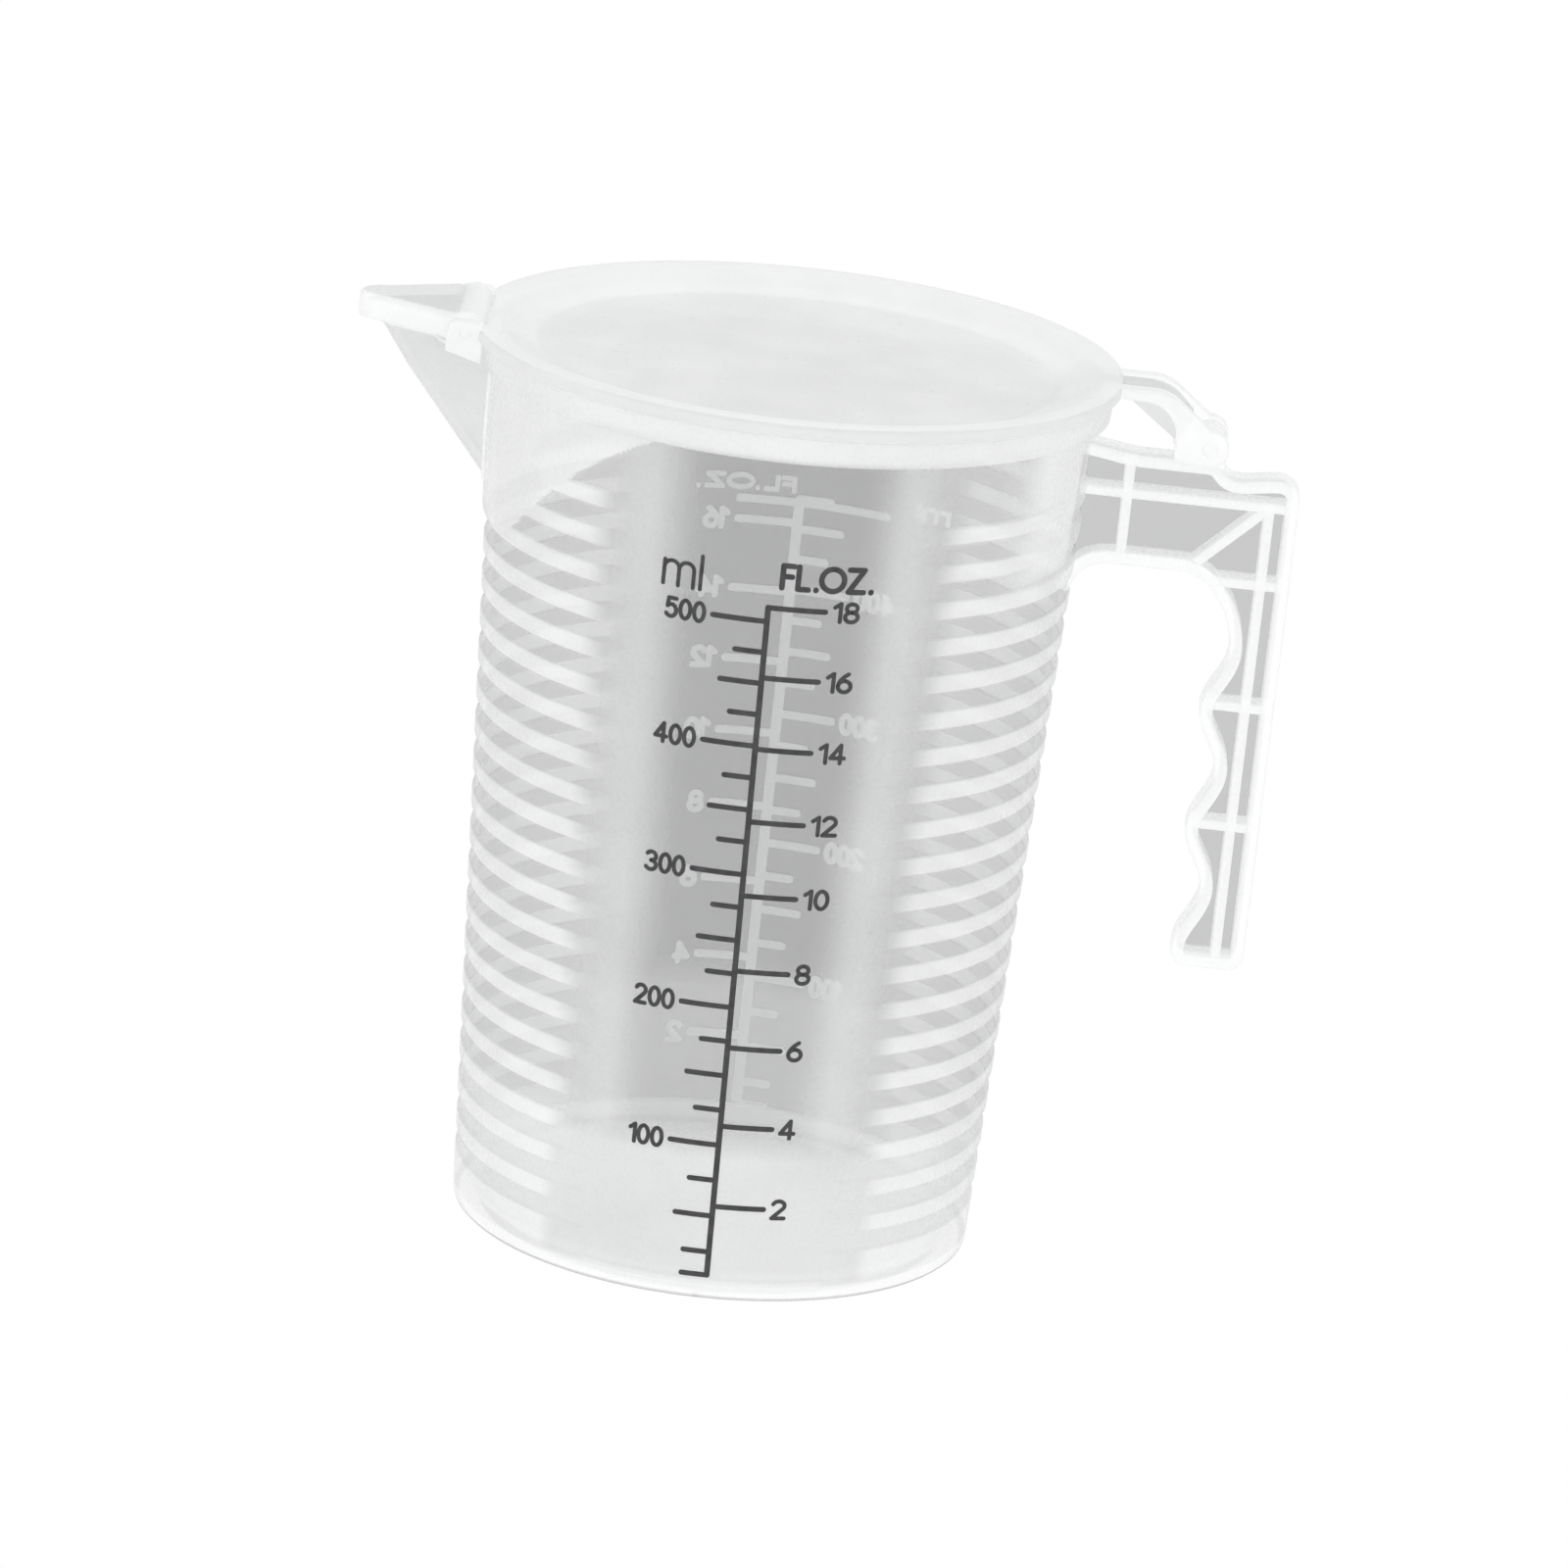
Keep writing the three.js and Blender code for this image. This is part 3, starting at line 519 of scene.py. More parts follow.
@dataclass(frozen=True)
class PrintInk:
    """Screen-printed ink: nearly black, matt, with a faint mottle.

    Attributes:
        name: Name of the material.
        dark: Colour where the ink is full.
        worn: Colour where the ink is thin.
        roughness: Least and most roughness.
        mottle_scale: Mottle of the ink, per metre.
        mottle_detail: Detail of the mottle's noise.
        worn_span: Mottle at which the ink is full and at which it is thin.
    """

    name: str
    dark: tuple[float, float, float] = (0.028, 0.028, 0.03)
    worn: tuple[float, float, float] = (0.06, 0.06, 0.063)
    roughness: tuple[float, float] = (0.45, 0.7)
    mottle_scale: float = 700.0
    mottle_detail: float = 4.0
    worn_span: tuple[float, float] = (0.35, 0.7)

    def material(self) -> bpy.types.Material:
        """Make the node material.

        Returns:
            The material.
        """
        made = bpy.data.materials.new(self.name)
        made.use_nodes = True
        graph = NodeGraph(made.node_tree)
        mottle = graph.noise(self.mottle_scale, self.mottle_detail)
        shader = graph.add("ShaderNodeBsdfPrincipled", {
            "Base Color": graph.mixed(graph.ranged(mottle, self.worn_span, (0.0, 1.0)), self.dark, self.worn),
            "Roughness": graph.ranged(mottle, NOISE_SPAN, self.roughness),
        })
        graph.add("ShaderNodeOutputMaterial", {"Surface": shader.outputs[0]})
        return made


@dataclass
class Wall:
    """Tapered wall that the vessel, its scales, the spout and the handle follow.

    Attributes:
        base_radius: Outer radius at the table.
        taper: Growth of the radius for each millimetre of height.
        thickness: Wall thickness.
        floor: Height of the inside floor.
        rim: Height of the rim.
    """

    base_radius: float = 38.0
    taper: float = 0.0446
    thickness: float = 1.0
    floor: float = 2.2
    rim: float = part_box("vessel")[1].z / MM

    def radius(self, height: Array | float) -> Array | float:
        """Outer radius at a height."""
        return self.base_radius + self.taper * height

    def inside(self, height: Array | float) -> Array | float:
        """Inner radius at a height."""
        return self.radius(height) - self.thickness

    def mark_height(self, millilitres: Array) -> Array:
        """Height of the surface of a volume: the inside is a frustum, so the volume is a difference of cubes.

        Args:
            millilitres: Volumes.

        Returns:
            Heights above the table.
        """
        floor_radius = self.inside(self.floor)
        cube = floor_radius**3 + 3 * self.taper * millilitres * CUBIC_MM_PER_ML / math.pi
        return self.floor + (np.cbrt(cube) - floor_radius) / self.taper


@dataclass
class Vessel:
    """Ribbed cup with smooth front and back panels, a shield round the spout and a collar at the rim.

    Attributes:
        wall: The tapered wall.
        rib_pitch: Distance between ribs.
        rib_tall: Height of a rib.
        rib_proud: How far ribs and foot stand off the wall.
        rib_edge: Half width of a rib's soft edge.
        rib_round: Radius of a rib's end.
        first_rib: Height of the lowest free rib.
        rib_count: Number of free ribs.
        front_panel: Half angle of the smooth front in degrees.
        back_panel: Angles of the smooth back towards the handle and towards the spout.
        foot_band: Height of the foot's band.
        edge_haze: Milkiness of the wall along the sides of the panels, partly painted light that whitens the wall
            as light scattered from the ribs would.
        rib_haze: Milkiness of the wall between the ribs, partly painted light scattered from the neighbouring
            ribs.
        foot_haze: Milkiness of the wall beside the floor, painted light: the lower wall is whitened as the lit
            floor seen through it would make it.
        root_haze: Milkiness of the wall round the handle's root.
        ring_haze: Milkiness of the foot's ring.
        relief_haze: Milkiness of ribs, shield and collar.
        rib_clear: Clearness of the wall between the ribs.
        inner_clear: Clearness of the inside, whose outside carries the tint.
        shield_proud: How far the shield stands off the wall.
        shield_foot: Height of the shield's lower edge.
        shield_half: Half width of the shield's lower edge.
        shield_slope: Rise of the shield's side edge for each millimetre of width.
        shield_corner: Softness of the shield's corners.
        collar_foot: Height of the collar's lower edge.
        collar_proud: How far the collar stands off the wall.
        collar_bevel: Height of the collar's sloping foot.
        window_half: Half width of the opening into the spout.
        window_sill: Height of the opening's lowest point.
        window_head: Height at which the opening's sides turn upright.
        lowered_from: Height above which the wall is drawn down to the opening.
        side_fade: Depths into a panel at which the haze and painted light along its side end and are full.
        rib_fade: Depths into a panel at which the ribs start to come out of the haze and are all out.
        foot_fade: Heights at which the painted light beside the floor ends and is full.
        root_turn: Angles from the handle in degrees at which the haze round its root ends and is full.
        root_rise: Heights at which that haze begins and is full.
        ring_fade: Height over which the foot's ring fades out.
        shield_edge: Half width of the shield's soft edge.
        base_lift: Height of the base's middle over the table.
        base_haze: Milkiness of the ring that the base stands on, and of the base's middle.
        floor_haze: Milkiness of the floor.
        least_rim_haze: Least milkiness of the rim.
        clear_fade: Milkiness at which the wall has none and all of its clearness.
        rowed_ribs: Number of ribs whose edges have rows of their own.
        row_step: Distance between the even rows above them.
        row_margin: Room between the last even row and the collar.
    """

    wall: Wall
    rib_pitch: float = 5.56
    rib_tall: float = 2.85
    rib_proud: float = 0.5
    rib_edge: float = 0.38
    rib_round: float = 1.0
    first_rib: float = 11.8
    rib_count: int = 20
    front_panel: float = 27.0
    back_panel: tuple[float, float] = (31.0, 26.0)
    foot_band: float = 1.9
    edge_haze: float = 0.37
    rib_haze: float = 0.14
    foot_haze: float = 0.46
    root_haze: float = 0.62
    ring_haze: float = 0.85
    relief_haze: float = 0.61
    rib_clear: float = 0.34
    inner_clear: float = 0.9
    shield_proud: float = 0.9
    shield_foot: float = 105.6
    shield_half: float = 19.0
    shield_slope: float = 1.07
    shield_corner: float = 2.0
    collar_foot: float = 127.6
    collar_proud: float = 2.3
    collar_bevel: float = 0.9
    window_half: float = 8.2
    window_sill: float = 112.2
    window_head: float = 130.6
    lowered_from: float = 100.0
    side_fade: tuple[float, float] = (9.5, 1.5)
    rib_fade: tuple[float, float] = (0.5, -8.5)
    foot_fade: tuple[float, float] = (29.0, 21.0)
    root_turn: tuple[float, float] = (52.0, 28.0)
    root_rise: tuple[float, float] = (103.0, 110.0)
    ring_fade: float = 1.5
    shield_edge: float = 0.6
    base_lift: float = 0.9
    base_haze: tuple[float, float] = (0.15, 0.6)
    floor_haze: float = 0.8
    least_rim_haze: float = 0.2
    clear_fade: tuple[float, float] = (0.5, 0.2)
    rowed_ribs: int = 17
    row_step: float = 0.45
    row_margin: float = 0.1

    def panel_depth(self, angle: Array, height: Array) -> Array:
        """How far inside the smooth front or back a place lies, along the wall; less than 0 among the ribs.

        Args:
            angle: Angles from the spout towards the front in radians.
            height: Heights above the table.

        Returns:
            Distances in millimetres.
        """
        turn = np.degrees(angle) % FULL_TURN
        handle_side, spout_side = self.back_panel
        front = self.front_panel - np.abs(turn - FRONT_TURN)
        back = np.minimum(turn - (BACK_TURN - handle_side), BACK_TURN + spout_side - turn)
        return np.radians(np.maximum(front, back)) * self.wall.radius(height)

    def haze(self, angle: Array, height: Array) -> Array:
        """Milkiness of the thin wall: least on the panels, more at their sides, the floor and the handle; partly
        painted light at the panels' sides and among the ribs, painted light beside the floor.

        Args:
            angle: Angles from the spout towards the front in radians.
            height: Heights above the table.

        Returns:
            Milkiness from 0 to 1.
        """
        depth = self.panel_depth(angle, height)
        # partly painted light: the wall beside the panels and between the ribs is made milkier and whiter, as if
        # lit by light scattered from the ribs
        beside_haze_and_light = self.edge_haze * smoothstep(*self.side_fade, depth)
        among_ribs = (self.edge_haze - self.rib_haze) * self.ribbed(depth)
        # painted light: the lower wall is whitened where the lit floor would show through it
        painted_at_floor = self.foot_haze * smoothstep(*self.foot_fade, height)
        from_handle = np.abs(np.degrees(angle) % FULL_TURN - HANDLE_TURN)
        at_root = self.root_haze * smoothstep(*self.root_turn, from_handle) * smoothstep(*self.root_rise, height)
        return np.maximum.reduce(np.broadcast_arrays(beside_haze_and_light - among_ribs, painted_at_floor, at_root))

    def ribbed(self, depth: Array) -> Array:
        """How far the ribs have come out of the haze beside the panels, by the depth into the panel."""
        return smoothstep(*self.rib_fade, depth)

    def rib_relief(self, angle: Array, height: Array) -> Array:
        """Height of the ribs over the wall.

        A rib is a bar with round ends that stops at the smooth panels: the relief falls from full to none over a
        soft edge, by the distance to the bar's outline. The lowest bar reaches down to the foot.

        Args:
            angle: Angles from the spout towards the front in radians.
            height: Heights above the table.

        Returns:
            Relief in millimetres.
        """
        nearest = np.clip(np.round((height - self.first_rib) / self.rib_pitch), 0, self.rib_count - 1)
        above = np.abs(height - self.first_rib - nearest * self.rib_pitch) - self.rib_tall / 2
        above = np.minimum(above, height - (self.first_rib - self.rib_pitch + self.rib_tall / 2))
        past_end = self.panel_depth(angle, height) + self.rib_round
        above = above + self.rib_round
        corner = np.hypot(np.maximum(above, 0.0), np.maximum(past_end, 0.0))
        distance = corner + np.minimum(np.maximum(above, past_end), 0.0) - self.rib_round
        return self.rib_proud * smoothstep(self.rib_edge, -self.rib_edge, distance)

    def smooth_relief(self, angle: Array, height: Array) -> Array:
        """How far foot, shield and collar stand off the tapered wall.

        The shield's edge is level below the spout and then rises steadily with the width.

        Args:
            angle: Angles from the spout towards the front in radians.
            height: Heights above the table.

        Returns:
            Relief in millimetres.
        """
        foot = self.rib_proud * smoothstep(self.foot_band + self.rib_proud, self.foot_band, height)
        across = np.abs(self.wall.radius(height) * np.sin(angle))
        past_corner = self.shield_corner * np.logaddexp(0.0, (across - self.shield_half) / self.shield_corner)
        below_edge = self.shield_foot + self.shield_slope * past_corner - height
        near_spout = np.cos(angle) > 0.0
        shield = self.shield_proud * smoothstep(self.shield_edge, -self.shield_edge, below_edge) * near_spout
        collar = self.collar_proud * np.clip((height - self.collar_foot) / self.collar_bevel, 0.0, 1.0)
        return np.maximum.reduce([foot, shield, collar])

    def relief(self, angle: Array, height: Array) -> Array:
        """How far the outside stands off the tapered wall."""
        return np.maximum(self.smooth_relief(angle, height), self.rib_relief(angle, height))

    def top(self, angle: Array) -> Array:
        """Height of the wall's top edge: the rim, drawn down in a V at the opening into the spout.

        Args:
            angle: Angles from the spout towards the front in radians.

        Returns:
            Heights of the edge.
        """
        across = np.abs(self.wall.radius(self.wall.rim) * np.sin(angle))
        valley = self.window_sill + (self.window_head - self.window_sill) * across / self.window_half
        at_spout = (across < self.window_half) & (np.cos(angle) > 0.0)
        return np.where(at_spout, valley, self.wall.rim)

    def lowered(self, height: Array, top: Array) -> Array:
        """Squeeze the heights above the spout's root so that the rim meets the top edge.

        Args:
            height: Heights on a full wall.
            top: Height of the top edge.

        Returns:
            Heights on the wall with its opening.
        """
        share = np.clip((height - self.lowered_from) / (self.wall.rim - self.lowered_from), 0.0, 1.0)
        return height + share * (top - self.wall.rim)

    def rows(self) -> Array:
        """Heights of the outside's rows: close together at rib edges, even beside the shield.

        Returns:
            Heights from the foot to just below the rim.
        """
        foot = np.array([0.9, 1.4, 1.9, 2.15, 2.4, 3.2, 5.0, 7.3, 7.5, 7.7, 7.9, 8.1])
        edge = self.rib_tall / 2 + np.array([-0.36, -0.12, 0.12, 0.36])
        offsets = np.concatenate([-edge[::-1], edge])
        centres = self.first_rib + self.rib_pitch * np.arange(self.rowed_ribs)
        ribs = (centres[:, None] + offsets).ravel()
        beside_shield = np.arange(ribs[-1] + self.row_step, self.collar_foot - self.row_margin, self.row_step)
        collar = self.collar_foot + np.array([-0.05, 0.1, 0.45, 0.8, 0.95, 1.4, 3.0])
        return np.concatenate([foot, ribs, beside_shield, collar])

    def build(self, material: bpy.types.Material) -> None:
        """Make the cup: the outside from base to rim, over the rim and down the inside to the floor.

        Args:
            material: Its finish.
        """
        angle = spread((-14, 14, 0.5), (14, 58, 1.0), (58, 68, 0.5), (68, 112, 1.5), (112, 122, 0.5),
                       (122, 234, 1.5), (234, 244, 0.5), (244, 291, 1.5), (291, 301, 0.5), (301, 346, 1.0))
        around = angle[None, :]
        top = self.top(angle)[None, :]
        height = self.lowered(self.rows()[:, None], top)
        relief = self.relief(around, height)
        outside = self.wall.radius(height) + relief
        foot_radius = self.wall.base_radius + self.rib_proud
        base = np.array([[0.0, self.base_lift], [18.0, self.base_lift], [33.4, 0.8], [34.2, 0.3], [34.8, 0.0],
                         [37.6, 0.0], [foot_radius - 0.45, 0.1], [foot_radius - 0.1, 0.4]])
        rim_share = np.array([1.0, 0.95, 0.84, 0.5, 0.16, 0.05])[:, None]
        rim_drop = np.array([0.5, 0.15, 0.0, 0.0, 0.0, 0.15])[:, None]
        rim_inside = self.wall.inside(top)
        rim_outside = self.wall.radius(top) + self.relief(around, top)
        rim_radius = rim_inside + rim_share * (rim_outside - rim_inside)
        inner_rows = np.array([131.5, 128.0, 120.0, 110.0, 100.0, 70.0, 40.0, 35.0, 30.0, 25.0, 20.0, 12.0, 4.6])
        inner_height = self.lowered(inner_rows[:, None], top)
        floor_radius = self.wall.inside(self.wall.floor)
        floor = np.array([[floor_radius - 0.1, 3.6], [floor_radius - 0.6, 2.7], [floor_radius - 1.8, 2.25],
                          [floor_radius - 4.0, self.wall.floor], [16.0, self.wall.floor], [0.0, self.wall.floor]])
        wide = np.ones_like(angle)[None, :]
        radii = [base[:, :1] * wide, outside, rim_radius, self.wall.inside(inner_height), floor[:, :1] * wide]
        heights = [base[:, 1:] * wide, height, top - rim_drop, inner_height, floor[:, 1:] * wide]
        out_of_haze = self.ribbed(self.panel_depth(around, height))
        white = np.maximum(self.smooth_relief(around, height), out_of_haze * relief) / self.rib_proud
        raised = self.relief_haze * np.minimum(white, 1.0)
        at_foot = self.ring_haze * smoothstep(self.foot_band + self.ring_fade, self.foot_band, height)
        # milkiness of the outside, with the painted light beside the panels, among the ribs and beside the floor
        thick_and_painted_light = np.maximum.reduce([raised, self.haze(around, height), at_foot])
        rim_extra = (rim_outside - rim_inside - self.wall.thickness) / self.rib_proud
        rim_thick = np.clip(rim_extra, self.least_rim_haze, self.relief_haze)
        milk = [np.where(base[:, 1:] < self.base_lift / 2, *self.base_haze) * wide, thick_and_painted_light,
                rim_thick * np.ones_like(rim_radius), self.haze(around, inner_height),
                self.floor_haze * np.ones_like(radii[4])]
        clear = [np.zeros_like(radii[0]), self.rib_clear * out_of_haze * smoothstep(*self.clear_fade, thick_and_painted_light),
                 np.zeros_like(rim_radius), np.full_like(inner_height, self.inner_clear), np.zeros_like(radii[4])]
        cup = Patchwork()
        cup.grid(lathe(np.vstack(radii), np.vstack(heights), angle), np.vstack(milk), np.vstack(clear))
        cup.make("vessel_shell", material, Body.JUG, Slot.CLEAR, "vessel")


@dataclass
class Spout:
    """Beak that pours: a cone from a point inside the wall to a plan outline at its top edge.

    Attributes:
        wall: The tapered wall.
        shield_proud: How far the shield that it grows from stands off the wall.
        top: Height of the top edge.
        reach: Reach of the tip beyond the wall at the rim.
        shoulder_reach: Reach of the shoulder.
        root_half: Half width at the wall.
        shoulder_half: Half width at the shoulder.
        tip_half: Half width behind the lip.
        lip_half: Half width of the lip.
        lip: Length of the lip's corners.
        keel_drop: Fall of the keel from the tip to the wall.
        thickness: Wall thickness.
        root_back: How far inside the wall the cone's point lies.
        hinge_room: X of the outer side of the room for the cover's hinge.
        lip_lift: How much higher the top edge stands beyond that room.
        fillet_radius: Radius of the bead where the beak meets the wall.
        haze: Milkiness of the sides.
        tip_draw: How much more than its sides the tip is drawn in.
        corner_round: Rounding of the outline's corners.
        columns: Points along the outline.
        rows: Points from the wall to the top edge.
        lift_run: Distance over which the top edge rises.
        lift_share: Upper share of the side that rises with it.
        outer_sink: How far inside the shield's face the outside starts.
        inner_start: How far off the wall the inside starts.
        edge_shares: Where the points of the top edge lie between outside and inside.
        edge_drop: How far the points beside the top edge lie below it.
    """

    wall: Wall
    shield_proud: float = 0.9
    top: float = 130.6
    reach: float = 16.7
    shoulder_reach: float = 7.1
    root_half: float = 9.8
    shoulder_half: float = 8.2
    tip_half: float = 4.0
    lip_half: float = 2.0
    lip: float = 1.0
    keel_drop: float = 21.0
    thickness: float = 1.3
    root_back: float = 4.6
    hinge_room: float = -50.6
    lip_lift: float = 0.9
    fillet_radius: float = 0.55
    haze: float = 0.52
    tip_draw: float = 1.25
    corner_round: float = 1.8
    columns: int = 96
    rows: int = 26
    lift_run: float = 2.5
    lift_share: float = 0.2
    outer_sink: float = 0.15
    inner_start: float = 0.1
    edge_shares: tuple[float, float, float] = (0.15, 0.5, 0.85)
    edge_drop: float = 0.2

    def outline(self, inner: float) -> Array:
        """Plan of the top edge from one side of the root round the lip to the other.

        Args:
            inner: How far the outline is drawn in.

        Returns:
            Points in X and Y at even spacing.
        """
        rim_wall = self.wall.radius(self.wall.rim)
        root_radius = self.wall.radius(self.top) + self.shield_proud - inner
        half = self.root_half - inner
        tip = -rim_wall - self.reach + self.tip_draw * inner
        side = np.array([
            [-math.sqrt(root_radius**2 - half**2), half],
            [-rim_wall - self.shoulder_reach, self.shoulder_half - inner],
            [tip + self.lip, self.tip_half - inner],
            [tip, self.lip_half - inner / 2],
        ])
        corners = np.concatenate([side, side[::-1] * np.array([1.0, -1.0])])
        return resampled(softened(corners, self.corner_round, closed=False), self.columns)

    def cone(self, inner: float, proud: float) -> Array:
        """Side of the beak: points on the lines from the cone's point to the top outline, outside the wall.

        The share of each line that lies inside the wall is found by halving an interval.

        Args:
            inner: How far the side is drawn in.
            proud: How far off the wall the side starts.

        Returns:
            Points, rows from the wall to the top by columns round the outline by 3.
        """
        rim_wall = self.wall.radius(self.wall.rim)
        slope = self.keel_drop / self.reach
        keel = self.top - self.keel_drop + inner * math.hypot(1.0, slope)
        point = np.array([-rim_wall + self.root_back, 0.0, keel - self.root_back * slope])
        plan = self.outline(inner)
        edge = np.column_stack([plan, np.full(len(plan), self.top)])
        low, high = np.zeros(len(edge)), np.ones(len(edge))
        for _ in range(HALVINGS):
            middle = (low + high) / 2
            place = point + middle[:, None] * (edge - point)
            inside = np.hypot(place[:, 0], place[:, 1]) < self.wall.radius(place[:, 2]) + proud
            low = np.where(inside, middle, low)
            high = np.where(inside, high, middle)
        share = high + (1.0 - high) * np.linspace(0.0, 1.0, self.rows)[:, None]
        side = point + share[:, :, None] * (edge - point)
        beyond_hinge = smoothstep(self.hinge_room, self.hinge_room - self.lift_run, edge[:, 0])
        near_top = np.clip((share - (1.0 - self.lift_share)) / self.lift_share, 0.0, 1.0)
        side[:, :, 2] += self.lip_lift * beyond_hinge * near_top
        return side

    def fillet(self, root: Array) -> Array:
        """Bead along the corner of beak and wall: a circle carried along it, square to the corner line.

        Args:
            root: Points of the corner line, n by 3.

        Returns:
            Points, n by the bead's sides by 3.
        """
        along = np.gradient(root, axis=0)
        along /= np.linalg.norm(along, axis=1, keepdims=True)
        outwards = root * np.array([1.0, 1.0, 0.0])
        outwards /= np.linalg.norm(outwards, axis=1, keepdims=True)
        sideways = np.cross(along, outwards)
        turn = np.linspace(0.0, 2 * math.pi, BEAD_SIDES, endpoint=False)[None, :, None]
        circle = np.cos(turn) * outwards[:, None] + np.sin(turn) * sideways[:, None]
        return root[:, None] + self.fillet_radius * circle

    def build(self, material: bpy.types.Material) -> None:
        """Make the beak: up the outside, over the rounded edge and down the inside, and the bead at its root.

        Args:
            material: Its finish.
        """
        outer = self.cone(0.0, self.shield_proud - self.outer_sink)
        inner = self.cone(self.thickness, self.inner_start)
        drop = np.array([0.0, 0.0, self.edge_drop])
        between = [outer[-1] * (1 - share) + inner[-1] * share for share in self.edge_shares]
        edge = [outer[-1] - drop, *between, inner[-1] - drop]
        rows = np.concatenate([outer[:-1], edge, inner[-2::-1]])
        milk = np.full(len(rows), self.haze)
        milk[len(outer):len(outer) + len(between)] = 1.0
        beak = Patchwork()
        beak.grid(rows.transpose(1, 0, 2), milk[None, :], caps=True)
        beak.grid(self.fillet(outer[0]), 1.0, caps=True)
        beak.make("spout_beak", material, Body.JUG, Slot.CLEAR, "pouring_spout")


def round_bar(half_width: float, thickness: float, radius: float, middle: float = 0.0) -> Array:
    """Section of a bar: a rectangle with rounded corners, from 0 to its thickness and across its width.

    Args:
        half_width: Half of its width.
        thickness: Its thickness, measured to the right of the path.
        radius: Rounding of its corners.
        middle: Where the middle of its width lies.

    Returns:
        Points of the section.
    """
    corners = np.array([[0.0, -half_width], [thickness, -half_width], [thickness, half_width], [0.0, half_width]])
    return softened(corners + np.array([0.0, middle]), radius)


